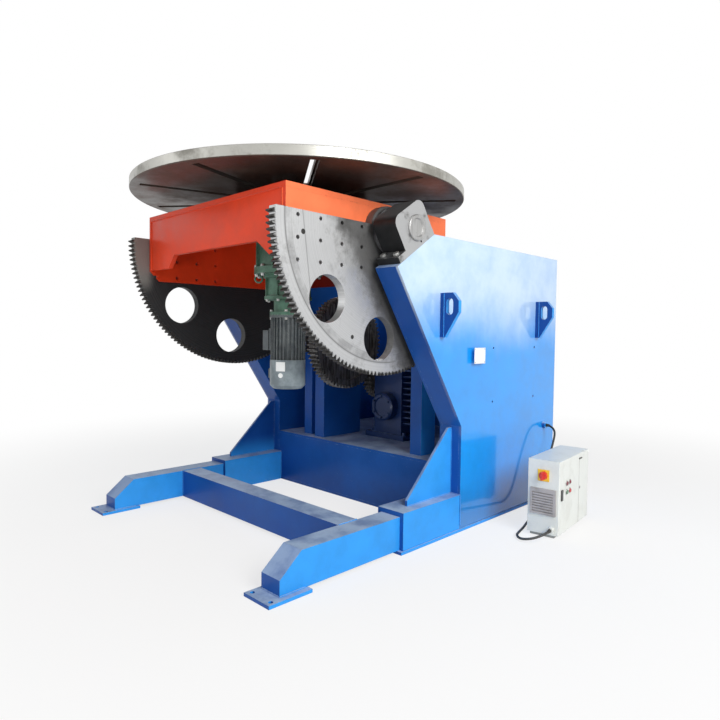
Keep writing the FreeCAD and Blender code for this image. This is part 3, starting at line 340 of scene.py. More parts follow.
@dataclass(frozen=True)
class Paint(Coating):
    """Sprayed enamel on welded plate, with dust and chipped edges, and painted light: a lighter
    copy on the side faces, a painted highlight near the top, painted shade low down and a painted
    highlight along the edges.
    """

    colour: str
    deep: str
    # side: painted light, a lighter copy of the enamel for the faces lit from the side
    side: str = ""
    # painted shade: factor that the enamel is darkened to towards the bottom
    painted_low_shade: float = 1.0
    dust: str = "C2D9F0"
    dust_share: float = 0.75
    # painted highlight: a pale veil near the top of the outer faces stands for the lamp's
    # reflection
    painted_highlight: str = "D2E2EF"
    painted_highlight_share: float = 0.0
    painted_highlight_from: float = 1.25
    painted_highlight_to: float = 1.67
    # edge colour: wear on the edges, and on the blue enamels also a painted highlight along them
    edge_wear_and_highlight: str = "7FA2CC"
    edge_wear_and_highlight_share: float = 0.4
    rough: float = 0.34
    coat: float = 0.12
    coat_index: float = 1.5
    shine: float = 0.3

    def lit_sides(self, graph: Graph, where: Wire) -> Wire:
        """Faces that look away from the middle along X, and the feet's inner faces, which get the
        painted lit copy of the enamel.

        Args:
            graph: The graph.
            where: Position.

        Returns:
            1 on those faces.
        """
        across, place = graph.facing().part(0), where.part(0)
        outward = (across * place).ramp(0.1, 0.4)
        outboard = place.squared().ramp(0.50, 0.55) * where.part(2).below(0.17, 0.36)
        return across.squared().ramp(0.25, 0.75) * outward.most(outboard)

    def shade(self, graph: Graph, where: Wire) -> None:
        """Lay the enamel, its painted lit sides, painted highlight and painted low shade, the dust
        on top, and the edges, chipped and with a painted highlight.

        Args:
            graph: The graph.
            where: Position in the part's frame.
        """
        broad = graph.noise(where, 1.1, 5, rough=0.6)
        cloud = graph.noise(where, 6.0, 6, rough=0.65)
        streak = graph.noise(where, 3.0, 5, (1.6, 1.6, 0.6))
        grain = graph.noise(where, 420.0, 2)
        colour = graph.mix(broad.ramp(0.3, 0.7), srgb(self.deep), srgb(self.colour))
        # painted light: the faces towards the side get the lighter copy of the enamel
        if self.side:
            colour = graph.mix(self.lit_sides(graph, where), colour, srgb(self.side))
        colour = colour * graph.grey(cloud.ramp(0.25, 0.75, 0.9, 1.06))
        height = where.part(2)
        # painted shade: the enamel darkens towards the bottom
        if self.painted_low_shade < 1.0:
            low = (height + streak * 0.22).ramp(0.14, 0.46, self.painted_low_shade, 1.0)
            colour = colour * graph.grey(low)
        # painted highlight: pale veil rising towards the top of the outer faces
        if self.painted_highlight_share:
            drift = height + broad * 0.34 + streak * 0.16
            outside = where.part(0).squared().ramp(0.8, 0.85)
            highlight_veil = drift.ramp(self.painted_highlight_from, self.painted_highlight_to) * cloud.ramp(0.2, 0.7, 0.72, 1.0)
            colour = graph.mix(highlight_veil * outside * self.painted_highlight_share, colour, srgb(self.painted_highlight))
        up = graph.facing().part(2).ramp(0.45, 0.95)
        settled = up * cloud.ramp(0.3, 0.62, 0.45, 1.0) * self.dust_share
        colour = graph.mix(settled, colour, srgb(self.dust))
        # edges: wear, and with a light edge colour a painted highlight along them
        worn_and_highlit_edges = graph.noise(where, 38.0, 4).ramp(0.5, 0.62) * graph.edges(0.006) * self.edge_wear_and_highlight_share
        colour = graph.mix(worn_and_highlit_edges, colour, srgb(self.edge_wear_and_highlight))
        scuffs = graph.noise(where, 24.0, 6, (0.6, 0.6, 3.4), 0.75).ramp(0.66, 0.74) * 0.22
        colour = graph.mix(scuffs, colour, srgb(self.dust))
        rough = cloud.ramp(0.3, 0.7, self.rough - 0.06, self.rough + 0.1)
        rough = rough + settled * 0.4 + scuffs * 0.3
        relief = grain * 0.35 + cloud * 0.65 - worn_and_highlit_edges * 0.6
        graph.surface(colour, rough, 0.0, relief, 0.0006, 0.0025, self.coat, self.shine,
                      self.coat_index)


class Marks(Enum):
    """How a machined face was cut."""

    PLAIN = "plain"
    ROUND_X = "turned about the tilt axis"
    ROUND_Z = "turned about the table's axis"


@dataclass(frozen=True)
class SectorMarks:
    """Dark marks of a sector gear: dirt together with a painted shadow of the cheek, the rim's
    joint, a seam, tapped holes.

    The rims are distances from the tilt axis: start, full, until, end. A hole is y, z, radius.
    """

    joint_rim: tuple[float, float, float, float] = (0.697, 0.702, 0.704, 0.711)
    worn_rim: tuple[float, float, float, float] = (0.655, 0.668, 0.697, 0.702)
    seam_y: float = -1.605
    seam_lean: float = 0.14
    holes: tuple[tuple[float, float, float], ...] = (
        (-1.604, 1.615, 0.014), (-1.274, 1.124, 0.012))

    def darkness(self, where: Wire, reach: Wire, cloud: Wire, blots: Wire) -> Wire:
        """All the marks together.

        Args:
            where: Position.
            reach: Distance from the tilt axis.
            cloud: Broad noise.
            blots: Finer noise.

        Returns:
            Darkness from 0 to 1.
        """
        along, height = where.part(1), where.part(2)
        # painted shadow of the cheek, mixed with dirt, on the part of the sector behind this line
        behind = along + height * 0.62 + cloud * 0.18 + blots * 0.16
        cheek_shadow_and_dirt = behind.ramp(-0.24, -0.08) * blots.ramp(0.2, 0.5, 0.95, 0.8)
        joint = reach.band(*self.joint_rim) * 0.6
        worn = reach.band(*self.worn_rim) * blots.ramp(0.3, 0.6) * 0.34
        off = along + (height - AXIS.z) * self.seam_lean - self.seam_y
        seam = off.band(-0.005, -0.001, 0.001, 0.005) * height.ramp(1.25, 1.34) * 0.4
        marks = cheek_shadow_and_dirt.most(joint).most(worn).most(seam)
        for y, z, radius in self.holes:
            spot = ((where - (0.0, y, z)) * (0.0, 1.0, 1.0)).size()
            marks = marks.most(spot.below(radius - 0.002, radius))
        return marks


@dataclass(frozen=True)
class Steel(Coating):
    """Bare or greased steel with tool marks and stains, and on some finishes painted shade, a
    painted shadow, a painted sheen or a painted reflection.
    """

    colour: str
    stain: str
    stain_share: float = 0.5
    rough: float = 0.34
    metal: float = 0.85
    marks: Marks = Marks.PLAIN
    grease_from: float = 0.0
    # painted shade: colour of the table's underside
    underside_shade: str = ""
    sector: Optional[SectorMarks] = None
    tool_share: float = 0.16

    def tool_marks(self, graph: Graph, where: Wire, from_axis: Wire) -> Wire:
        """Fine grooves that the cutting tool left.

        Args:
            graph: The graph.
            where: Position.
            from_axis: Position from the tilt axis.

        Returns:
            Grooves from 0 to 1.
        """
        if self.marks is Marks.PLAIN:
            return graph.noise(where, 60.0, 3, (1.0, 1.0, 0.12))
        flat = (0.0, 1.0, 1.0) if self.marks is Marks.ROUND_X else (1.0, 1.0, 0.0)
        radius = (from_axis * flat).size()
        return graph.node("ShaderNodeTexNoise", {"noise_dimensions": "1D"},
                          {"W": radius * 260.0, "Scale": 1.0, "Detail": 3.0})

    def shade(self, graph: Graph, where: Wire) -> None:
        """Lay the steel, its tool marks and stains, then where it has any: painted shade with rust
        and a painted reddish reflection under the table, grease, and the sector's marks with a
        painted shadow, else a painted sheen.

        Args:
            graph: The graph.
            where: Position in the part's frame.
        """
        from_axis = where - tuple(AXIS)
        cloud = graph.noise(where, 4.5, 8, rough=0.68)
        blots = graph.noise(where, 13.0, 6, rough=0.6)
        grain = graph.noise(where, 300.0, 2)
        tool = self.tool_marks(graph, where, from_axis)
        bright = tool.ramp(0.3, 0.7, 0.0, self.tool_share)
        colour = graph.mix(bright, srgb(self.colour), srgb(Soil.BRIGHT))
        stains = cloud.ramp(0.5, 0.68) * 0.8 + blots.ramp(0.62, 0.74) * 0.5
        stains = stains.least(1.0) * self.stain_share
        # painted shade: the table's underside and inner sideways faces darken, and a rust colour
        # stands also for a painted reddish reflection of the orange box
        if self.underside_shade:
            up = graph.facing().part(2)
            sideways = up.below(0.3, 0.5)
            inner = (from_axis * (1.0, 1.0, 0.0)).size().below(0.962, 0.968) * sideways
            below = up.below(-0.6, -0.3).most(inner)
            under_rust_and_reflection = graph.mix(cloud.ramp(0.4, 0.6), srgb(self.underside_shade), srgb(Soil.RUST_AND_REFLECTION))
            # painted shade: the rim darkens towards -X, away from the key lamp, in a grime brown
            rim_grime_and_shade = where.part(0).ramp(-0.95, -0.35, 0.75, 0.0) * sideways
            colour = graph.mix(rim_grime_and_shade, colour, srgb(Soil.GRIME_AND_SHADE))
            colour = graph.mix(below * 0.94, colour, under_rust_and_reflection)
            stains = stains * (1.0 - below * 0.6)
        colour = graph.mix(stains, colour, srgb(self.stain))
        rough = cloud.ramp(0.3, 0.7, self.rough - 0.07, self.rough + 0.12) + stains * 0.22
        metal = self.metal - stains * 0.5
        if self.grease_from:
            reach = (from_axis * (0.0, 1.0, 1.0)).size()
            greasy = reach.ramp(self.grease_from, self.grease_from + 0.016)
            face = graph.facing().part(0).squared().ramp(0.3, 0.8, 1.0, 0.12)
            dark = greasy * face.most(blots.ramp(0.35, 0.6))
            colour = graph.mix(dark, colour, srgb(Soil.GREASE))
            # sector marks, with the painted shadow of the cheek
            if self.sector:
                dark = dark.most(self.sector.darkness(where, reach, cloud, blots))
                colour = graph.mix(dark, colour, srgb(Soil.DIRT_AND_SHADOW))
            else:
                # painted sheen: a light patch at the front top of the left sector
                front_sheen = (where.part(1) + cloud * 0.06).below(-1.67, -1.60)
                front_sheen = front_sheen * where.part(2).ramp(1.36, 1.47) * (1.0 - greasy) * 0.55
                colour = graph.mix(front_sheen, colour, srgb(Soil.PAINTED_SHEEN))
            rough = rough + dark * 0.12
            metal = metal * (1.0 - dark * 0.7)
        relief = tool * 0.5 + grain * 0.2 + cloud * 0.3
        graph.surface(colour, rough, metal, relief, 0.0004, 0.0015)


@dataclass(frozen=True)
class Cast(Coating):
    """Painted casting with a grainy skin, for motors, reducers and bearing housings."""

    colour: str
    deep: str
    dust: str = "A8A69E"
    dust_share: float = 0.4
    rough: float = 0.5
    machined: str = ""

    def shade(self, graph: Graph, where: Wire) -> None:
        """Lay the paint, the dust on it, its worn edges and any machined ends.

        Args:
            graph: The graph.
            where: Position in the part's frame.
        """
        cloud = graph.noise(where, 11.0, 6, rough=0.65)
        grain = graph.noise(where, 260.0, 4, rough=0.7)
        colour = graph.mix(cloud.ramp(0.35, 0.65), srgb(self.deep), srgb(self.colour))
        up = graph.facing().part(2).ramp(0.3, 0.95)
        settled = up * grain.ramp(0.3, 0.55, 0.4, 1.0) * self.dust_share
        colour = graph.mix(settled, colour, srgb(self.dust))
        worn = graph.edges(0.003) * cloud.ramp(0.42, 0.56) * 0.45
        colour = graph.mix(worn, colour, srgb(Soil.WORN_EDGE))
        rough = grain.ramp(0.3, 0.7, self.rough - 0.07, self.rough + 0.09) + settled * 0.2
        metal: Number = 0.0
        if self.machined:
            cut = graph.facing().part(0).squared().ramp(0.7, 0.95)
            stained = cloud.ramp(0.52, 0.66) * 0.7
            bare = graph.mix(stained, srgb(self.machined), srgb(Soil.CUT_STAIN))
            colour = graph.mix(cut, colour, bare)
            metal = cut * 0.6
        graph.surface(colour, rough, metal, grain * 0.7 + cloud * 0.3, 0.0008, 0.0018, shine=0.3)


@dataclass(frozen=True)
class Moulded(Coating):
    """Plastic, rubber or powder coat: an even colour with a fine texture and light soiling."""

    colour: str
    soil: str = "8A8880"
    soil_share: float = 0.15
    rough: float = 0.42
    depth: float = 0.00025
    coat: float = 0.0

    def shade(self, graph: Graph, where: Wire) -> None:
        """Lay the colour, its fine texture and the soiling, which is heavier low down.

        Args:
            graph: The graph.
            where: Position in the part's frame.
        """
        cloud = graph.noise(where, 7.0, 6, rough=0.65)
        grain = graph.noise(where, 700.0, 3, rough=0.6)
        low = where.part(2).ramp(0.0, 0.5, 0.5, 0.0)
        soil = (cloud.ramp(0.48, 0.7) + low * cloud.ramp(0.35, 0.6)).least(1.0) * self.soil_share
        colour = graph.mix(soil, srgb(self.colour), srgb(self.soil))
        colour = colour * graph.grey(grain.ramp(0.2, 0.8, 0.96, 1.03))
        rough = grain.ramp(0.3, 0.7, self.rough - 0.05, self.rough + 0.06) + soil * 0.3
        graph.surface(colour, rough, 0.0, grain, self.depth, 0.0014, self.coat)


class Finish(Enum):
    """Every finish of the part."""

    # The third colour of an enamel is its painted lit copy for the side faces.
    BLUE = Paint("blue_enamel", "1B58A8", "124796", "3299EA", coat=0.06, shine=0.2)
    # Cheek enamel: painted highlight near the top, painted shade low down.
    CHEEK = Paint("cheek_enamel", "1B58A8", "124796", "0A94EC", 0.62, painted_highlight_share=0.84, coat=1.0,
                  coat_index=1.62, shine=0.2)
    DRIVE_BLUE = Paint("drive_enamel", "15336A", "0E2650", dust="6E86A6", dust_share=0.4,
                       rough=0.42)
    ORANGE = Paint("orange_enamel", "EA4620", "DE3E1C", "F77C50", dust="C9A79A", dust_share=0.5,
                   edge_wear_and_highlight="5A3A30", rough=0.36, coat=0.05, shine=0.2)
    # painted shade: darker copy of the orange enamel for the rear plate, which sits in shade
    SHADED_ORANGE = Paint("box_back_painted_shade", "7A1F14", "5A1710", dust="8A6A60", dust_share=0.5,
                          edge_wear_and_highlight="3A2622", rough=0.42, coat=0.0)
    SECTOR = Steel("sector_steel", "B4B5B6", "35322F", 0.55, 0.36, 0.7, Marks.ROUND_X,
                   grease_from=0.752, sector=SectorMarks())
    # painted shade: a dark copy of the sector steel for the left sector, which sits in shade
    SHADED_SECTOR = Steel("sector_painted_shade", "1E1F20", "0F0F0F", 0.7, 0.55, 0.3, Marks.ROUND_X,
                  grease_from=0.752, tool_share=0.03)
    GEAR = Steel("gear_steel", "33312F", "151312", 0.8, 0.45, 0.5)
    # Table: its underside colour is painted shade.
    TABLE = Steel("table_steel", "A3A29B", "5A564C", 0.75, 0.38, 0.7, Marks.ROUND_Z,
                  underside_shade="4A443F")
    SHAFT = Steel("shaft_steel", "A9A9A8", "4B4844", 0.45, 0.28, 0.9)
    # painted shade: a dark copy of the shaft steel for the trunnion shafts, which sit in shade
    SHADED_SHAFT = Steel("shaft_painted_shade", "35353A", "161514", 0.6, 0.4, 0.6)
    BEARING = Cast("bearing_iron", "1D1E20", "121315", dust="6E7072", machined="A9AAAB")
    BOLT = Steel("zinc_screws", "A9AAA7", "5F5B52", 0.4, 0.36, 0.8)
    # painted shade: dark screws for the trunnion flanges, which sit in shade
    SHADED_BOLT = Steel("screws_painted_shade", "3A3B3D", "1C1B1A", 0.4, 0.42, 0.5)
    REDUCER = Cast("reducer_enamel", "4E7461", "385747", rough=0.44)
    MOTOR = Cast("motor_enamel", "5C6366", "43494C", dust_share=0.35, rough=0.4)
    COWL = Cast("cowl_enamel", "8E9A9F", "6F7A80", dust_share=0.35, rough=0.4)
    CABINET = Moulded("cabinet_coat", "DFE2DE", soil="B3B2AA", soil_share=0.22, coat=0.1)
    FEET = Moulded("cabinet_plinth", "A6A9A7", soil_share=0.4)
    YELLOW = Moulded("switch_yellow", "F2C21A", rough=0.35, coat=0.2)
    RED = Moulded("switch_red", "D6221C", rough=0.3, coat=0.3)
    FILTER = Moulded("filter_plastic", "ABA6A6", soil="6E6B64", soil_share=0.5)
    BLACK = Moulded("black_plastic", "1B1C1E", soil_share=0.3, rough=0.38)
    GREEN = Moulded("button_green", "4C7A5A", rough=0.3, coat=0.3)
    BUTTON_RED = Moulded("button_red", "C2202A", rough=0.3, coat=0.3)
    BUTTON_DARK = Moulded("button_dark_red", "7C1F34", rough=0.3, coat=0.3)
    PLATE = Moulded("blank_plate", "EDEFEF", soil="A9ABAB", soil_share=0.25, rough=0.3,
                    depth=0.0001)
    LEAD = Moulded("cable_sheath", "17181B", soil="6A6A68", soil_share=0.35, rough=0.5)
    RUBBER = Moulded("rubber", "202123", soil="6A665E", soil_share=0.5, rough=0.65)


FINISH_NODES: dict[Finish, tuple[str, ...]] = {
    Finish.BLUE: ("base_plates", "foot_plates", "left_leg", "right_leg", "cross_beam",
                  "leg_sleeves", "sleeve_gussets", "left_cheek_inner_plate",
                  "right_cheek_inner_plate", "left_cheek_edge_plates",
                  "right_cheek_edge_plates", "lifting_lugs", "front_apron", "deck_plate",
                  "rear_panel", "rear_tie_beam", "shaft_columns", "drive_pedestal"),
    Finish.CHEEK: ("left_cheek_outer_plate", "right_cheek_outer_plate"),
    Finish.DRIVE_BLUE: ("tilt_gearbox", "gearbox_front_cover", "tilt_motor", "tilt_motor_cowl"),
    Finish.ORANGE: ("frame_front_plate", "frame_side_plates", "frame_top_plate"),
    Finish.SHADED_ORANGE: ("frame_rear_plate",),
    Finish.SECTOR: ("right_sector_gear",),
    Finish.SHADED_SECTOR: ("left_sector_gear",),
    Finish.GEAR: ("left_tilt_pinion", "right_tilt_pinion", "bull_gear", "gearbox_pinion",
                  "ring_gear", "rotation_pinion", "slewing_inner_ring"),
    Finish.TABLE: ("turntable",),
    Finish.SHAFT: ("left_tilt_shaft", "right_tilt_shaft", "trunnion_covers"),
    Finish.SHADED_SHAFT: ("trunnion_shafts",),
    Finish.BEARING: ("left_pillow_block", "right_pillow_block", "shaft_bearings"),
    Finish.BOLT: ("pillow_bolts",),
    Finish.REDUCER: ("rotation_reducer",),
    Finish.MOTOR: ("rotation_motor", "motor_terminal_box"),
    Finish.COWL: ("motor_cowl",),
    Finish.CABINET: ("cabinet_body", "cabinet_door"),
    Finish.FEET: ("cabinet_feet",),
    Finish.YELLOW: ("isolator_plate",),
    Finish.RED: ("isolator_knob",),
    Finish.FILTER: ("fan_filter",),
    Finish.BLACK: ("door_latch",),
    Finish.BUTTON_DARK: ("start_button",),
    Finish.GREEN: ("stop_button",),
    Finish.BUTTON_RED: ("jog_button",),
}


@lru_cache(maxsize=None)
def material(finish: Finish) -> bpy.types.Material:
    """Material of a finish, made the first time that it is asked for.

    Args:
        finish: The finish.

    Returns:
        Its material.
    """
    return finish.value.build()


def dress() -> None:
    """Give every CAD node its finish."""
    for finish, nodes in FINISH_NODES.items():
        for name in nodes:
            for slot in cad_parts[name].material_slots:
                slot.material = material(finish)
    LOG.info("%d finishes on %d nodes", len(FINISH_NODES), len(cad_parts))


# ---- shapes -----------------------------------------------------------------------------------
def span(name: str) -> tuple[Vector, Vector]:
    """Lowest and highest corner of a CAD node at rest."""
    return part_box(name)


class Shape:
    """A mesh under construction, in metres in the part's frame."""

    def __init__(self) -> None:
        """Start with an empty mesh."""
        self.mesh = bmesh.new()

    def _soften(self, edges: Iterable[bmesh.types.BMEdge], radius: float) -> "Shape":
        """Round edges to a radius."""
        bmesh.ops.bevel(self.mesh, geom=list(dict.fromkeys(edges)), offset=radius, segments=2,
                        profile=0.6, affect="EDGES")
        return self

    def _ring(self, middle: Vector, side: Vector, over: Vector, radius: float,
              sides: int) -> list[bmesh.types.BMVert]:
        """Points round a circle, or its middle alone where the radius is 0.

        Args:
            middle: Middle of the circle.
            side: Unit vector to the first point.
            over: Unit vector to the point a quarter turn on.
            radius: Radius of the circle.
            sides: Number of points.

        Returns:
            The points.
        """
        if not radius:
            return [self.mesh.verts.new(middle)]
        turns = [math.tau * i / sides for i in range(sides)]
        return [self.mesh.verts.new(middle + (side * math.cos(t) + over * math.sin(t)) * radius)
                for t in turns]

    def _join(self, rings: Sequence[Sequence[bmesh.types.BMVert]], sides: int) -> "Shape":
        """Close the wall between each ring and the next.

        Args:
            rings: The rings, in order.
            sides: Number of points in a full ring.

        Returns:
            This shape.
        """
        for near, far in zip(rings, rings[1:]):
            for i in range(sides):
                j = (i + 1) % sides
                loop = [near[i % len(near)], near[j % len(near)],
                        far[j % len(far)], far[i % len(far)]]
                corners = list(dict.fromkeys(loop))
                if len(corners) > 2:
                    self.mesh.faces.new(corners)
        return self

    def box(self, low: Sequence[float], high: Sequence[float], round_by: float = 0.0012,
            turn: Matrix = Matrix.Identity(4)) -> "Shape":
        """Box with rounded edges.

        Args:
            low: One corner.
            high: The opposite corner.
            round_by: Radius of its edges.
            turn: Transform applied afterwards.

        Returns:
            This shape.
        """
        a, b = Vector(low), Vector(high)
        made = bmesh.ops.create_cube(self.mesh, size=1.0)["verts"]
        place = turn @ Matrix.Translation((a + b) / 2) @ Matrix.Diagonal((*(b - a), 1.0))
        bmesh.ops.transform(self.mesh, matrix=place, verts=made)
        return self._soften((edge for vert in made for edge in vert.link_edges), round_by)

    def slab(self, outline: Sequence[tuple[float, float]], near: float, far: float,
             round_by: float = 0.0015) -> "Shape":
        """Plate that stands across Y, with rounded edges.

        Args:
            outline: Its corners as (x, z), in order.
            near: Lowest y.
            far: Highest y.
            round_by: Radius of its edges.

        Returns:
            This shape.
        """
        front = [self.mesh.verts.new((x, near, z)) for x, z in outline]
        back = [self.mesh.verts.new((x, far, z)) for x, z in outline]
        faces = [self.mesh.faces.new(front), self.mesh.faces.new(back[::-1])]
        for i, corner in enumerate(front):
            j = (i + 1) % len(front)
            faces.append(self.mesh.faces.new((corner, back[i], back[j], front[j])))
        return self._soften((edge for face in faces for edge in face.edges), round_by)

    def lathe(self, profile: Sequence[tuple[float, float]], centre: Sequence[float],
              axis: Sequence[float], sides: int = 28) -> "Shape":
        """Turn an outline about an axis.

        Args:
            profile: (radius, height) points, in order.
            centre: Where height is 0.
            axis: Direction of the height.
            sides: Number of flats.

        Returns:
            This shape.
        """
        side, over, up = Vector(axis).to_track_quat("Z", "Y").to_matrix().transposed()
        rings = [self._ring(Vector(centre) + up * height, side, over, radius, sides)
                 for radius, height in profile]
        return self._join(rings, sides)

    def screw(self, spot: Sequence[float], axis: Sequence[float], across: float = 0.02) -> "Shape":
        """Hexagon head on a washer.

        Args:
            spot: Middle of the seat.
            axis: Direction that the head points in.
            across: Width over the corners.

        Returns:
            This shape.
        """
        half = across / 2
        washer = [(half * 1.3, 0), (half * 1.3, half * 0.18), (half * 0.8, half * 0.22)]
        head = [(half, 0), (half, half * 0.95), (half * 0.84, half * 1.15), (0, half * 1.15)]
        seat = Vector(spot) + Vector(axis).normalized() * half * 0.2
        return self.lathe(washer, spot, axis, 20).lathe(head, seat, axis, 6)

    def circle_of_screws(self, centre: Sequence[float], axis: Sequence[float], radius: float,
                         count: int, across: float, start: float = 0.0) -> "Shape":
        """Screws round a circle.

        Args:
            centre: Middle of the circle.
            axis: Direction of the heads.
            radius: Radius of the circle.
            count: How many.
            across: Width of each head over its corners.
            start: Angle of the first, in degrees.

        Returns:
            This shape.
        """
        pose = Vector(axis).to_track_quat("Z", "Y").to_matrix()
        for index in range(count):
            angle = math.radians(start + 360 * index / count)
            arm = pose @ Vector((radius * math.cos(angle), radius * math.sin(angle), 0))
            self.screw(Vector(centre) + arm, axis, across)
        return self

    def weld(self, points: Sequence[Sequence[float]], radius: float) -> "Shape":
        """Rippled weld bead along straight runs, with a pass about every 6 mm.

        Args:
            points: Ends and corners of the runs.
            radius: Radius of the bead.

        Returns:
            This shape.
        """
        sides, pitch = 6, 0.006
        for first, last in zip(points, points[1:]):
            a, b = Vector(first), Vector(last)
            along = (b - a).normalized()
            side = along.orthogonal().normalized()
            over = along.cross(side)
            steps = max(2, int((b - a).length / pitch))
            rings = []
            for step in range(steps + 1):
                swell = 0.86 + 0.14 * math.sin(step * 2.1) + 0.05 * math.sin(step * 0.37 + a.x * 9)
                if step in (0, steps):
                    swell *= 0.45
                rings.append(self._ring(a.lerp(b, step / steps), side, over, radius * swell, sides))
            self._join(rings, sides)
        return self

    def done(self, name: str, body: str, finish: Finish, slot: str) -> bpy.types.Object:
        """Close the shape into an object of the part.

        Args:
            name: The object's name.
            body: The CAD body that it rides on.
            finish: Its finish.
            slot: Not used.

        Returns:
            The object.
        """
        bmesh.ops.recalc_face_normals(self.mesh, faces=self.mesh.faces)
        data = bpy.data.meshes.new(name)
        self.mesh.to_mesh(data)
        self.mesh.free()
        data.polygons.foreach_set("use_smooth", [True] * len(data.polygons))
        data.set_sharp_from_angle(angle=math.radians(38))
        data.materials.append(material(finish))
        thing = bpy.data.objects.new(name, data)
        bpy.context.scene.collection.objects.link(thing)
        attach(thing, body)
        LOG.info("%s rides on %s: %s", name, body, finish.value.name)
        return thing


# ---- sub-assemblies ---------------------------------------------------------------------------
@dataclass
class BaseFrame:
    """Weld beads of the legs, sleeves, cross beam and gussets."""

    bead: float = 0.006
    gusset_bead: float = 0.0048
    gusset_half: float = 0.008
    foot_run: float = 0.145
    sleeve_start: float = 0.02

    def build(self) -> None:
        """Add the pieces."""
        shape = Shape()
        low, high = span("leg_sleeves")
        leg_low, leg_high = span("right_leg")
        foot_top = span("foot_plates")[1].z
        beam_low, beam_high = span("cross_beam")
        gusset_low, gusset_high = span("sleeve_gussets")
        start = low.z + self.sleeve_start
        toe = leg_low.y
        for side in (-1, 1):
            outer, inner = side * high.x, side * (leg_low.x + leg_high.x - high.x)
            near, far = side * leg_low.x, side * leg_high.x
            runs = [[(inner, high.y, start), (inner, high.y, high.z), (outer, high.y, high.z),
                     (outer, high.y, start)],
                    [(near, toe, foot_top), (far, toe, foot_top)],
                    [(near, beam_low.y, beam_high.z), (near, beam_high.y, beam_high.z)]]
            runs += [[(x, toe, foot_top), (x, toe + self.foot_run, foot_top)] for x in (near, far)]
            runs += [[(near, y, beam_low.z + 0.01), (near, y, beam_high.z)]
                     for y in (beam_low.y, beam_high.y)]
            for run in runs:
                shape.weld(run, self.bead)
            middle = side * (gusset_high.x - self.gusset_half)
            for x in (middle - self.gusset_half, middle + self.gusset_half):
                shape.weld([(x, gusset_low.y + 0.01, gusset_low.z),
                            (x, gusset_high.y - 0.005, gusset_low.z)], self.gusset_bead)
                shape.weld([(x, gusset_high.y, gusset_low.z), (x, gusset_high.y, gusset_high.z)],
                           self.gusset_bead)
        shape.done("base_welds", "base", Finish.BLUE, "blue_paint")


@dataclass
class Cheeks:
    """Blank plate with its rivets, and the weld beads of the lifting lugs."""

    plate_middle: tuple[float, float] = (-0.431, 1.020)
    plate_half: tuple[float, float] = (0.057, 0.0465)
    plate_thick: float = 0.0015
    rivet_inset: float = 0.008
    lug_half: float = 0.0125
    bead: float = 0.005

    def build(self) -> None:
        """Add the pieces."""
        face = span("right_cheek_outer_plate")[1].x
        (y, z), (wide, tall) = self.plate_middle, self.plate_half
        plate = Shape().box((face, y - wide, z - tall),
                            (face + self.plate_thick, y + wide, z + tall), 0.0005)
        plate.done("blank_cheek_plate", "base", Finish.PLATE, "cabinet_grey")
        rivets = Shape()
        rivet = [(0.004, 0), (0.0034, 0.0012), (0.0018, 0.002), (0, 0.0022)]
        for dy in (self.rivet_inset - wide, wide - self.rivet_inset):
            for dz in (self.rivet_inset - tall, tall - self.rivet_inset):
                rivets.lathe(rivet, (face + 0.001, y + dy, z + dz), (1, 0, 0), 14)
        rivets.done("plate_rivets", "base", Finish.BOLT, "zinc_bolts")
        shape = Shape()
        lug_low, lug_high = span("lifting_lugs")
        for x in (-face, face):
            for middle in (lug_low.y + self.lug_half, lug_high.y - self.lug_half):
                for edge in (middle - self.lug_half, middle + self.lug_half):
                    shape.weld([(x, edge, lug_low.z), (x, edge, lug_high.z)], self.bead)
        shape.done("lug_welds", "base", Finish.BLUE, "blue_paint")


@dataclass
class TiltingBox:
    """Notched front plate, weld beads and trunnion flange screws of the box."""

    bead: float = 0.006
    notch_low: tuple[float, float] = (-0.435, 0.560)
    notch_high: tuple[float, float] = (-0.368, 0.458)
    notch_height: float = 0.076
    flange_face: float = 0.027
    flange_circle: float = 0.094
    flange_screws: int = 8

    def build(self) -> None:
        """Add the pieces."""
        low, high = span("frame_front_plate")
        rise = low.z + self.notch_height
        outline = [(low.x, low.z), (self.notch_low[0], low.z), (self.notch_high[0], rise),
                   (self.notch_high[1], rise), (self.notch_low[1], low.z), (high.x, low.z),
                   (high.x, high.z), (low.x, high.z)]
        plate = Shape().slab(outline, low.y, high.y)
        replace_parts(plate.done("box_front_plate", "tilt_frame", Finish.ORANGE, "orange_paint"),
                    "frame_front_plate")
        shape = Shape()
        for x in (-high.x, high.x):
            shape.weld([(x, low.y, low.z), (x, low.y, high.z)], self.bead * 0.8)
            shape.weld([(x, high.y, low.z), (x, high.y, high.z)], self.bead)
        shape.weld([(low.x, low.y, high.z), (high.x, low.y, high.z)], self.bead * 0.7)
        shape.done("box_welds", "tilt_frame", Finish.ORANGE, "orange_paint")
        screws = Shape()
        reach = span("right_sector_gear")[1].x + self.flange_face
        for side in (-1, 1):
            screws.circle_of_screws((side * reach, AXIS.y, AXIS.z), (side, 0, 0),
                                    self.flange_circle, self.flange_screws, 0.024, 22.5)
        # painted shade: the trunnion screws are dark because they sit in shade
        screws.done("trunnion_screws", "tilt_frame", Finish.SHADED_BOLT, "zinc_bolts")


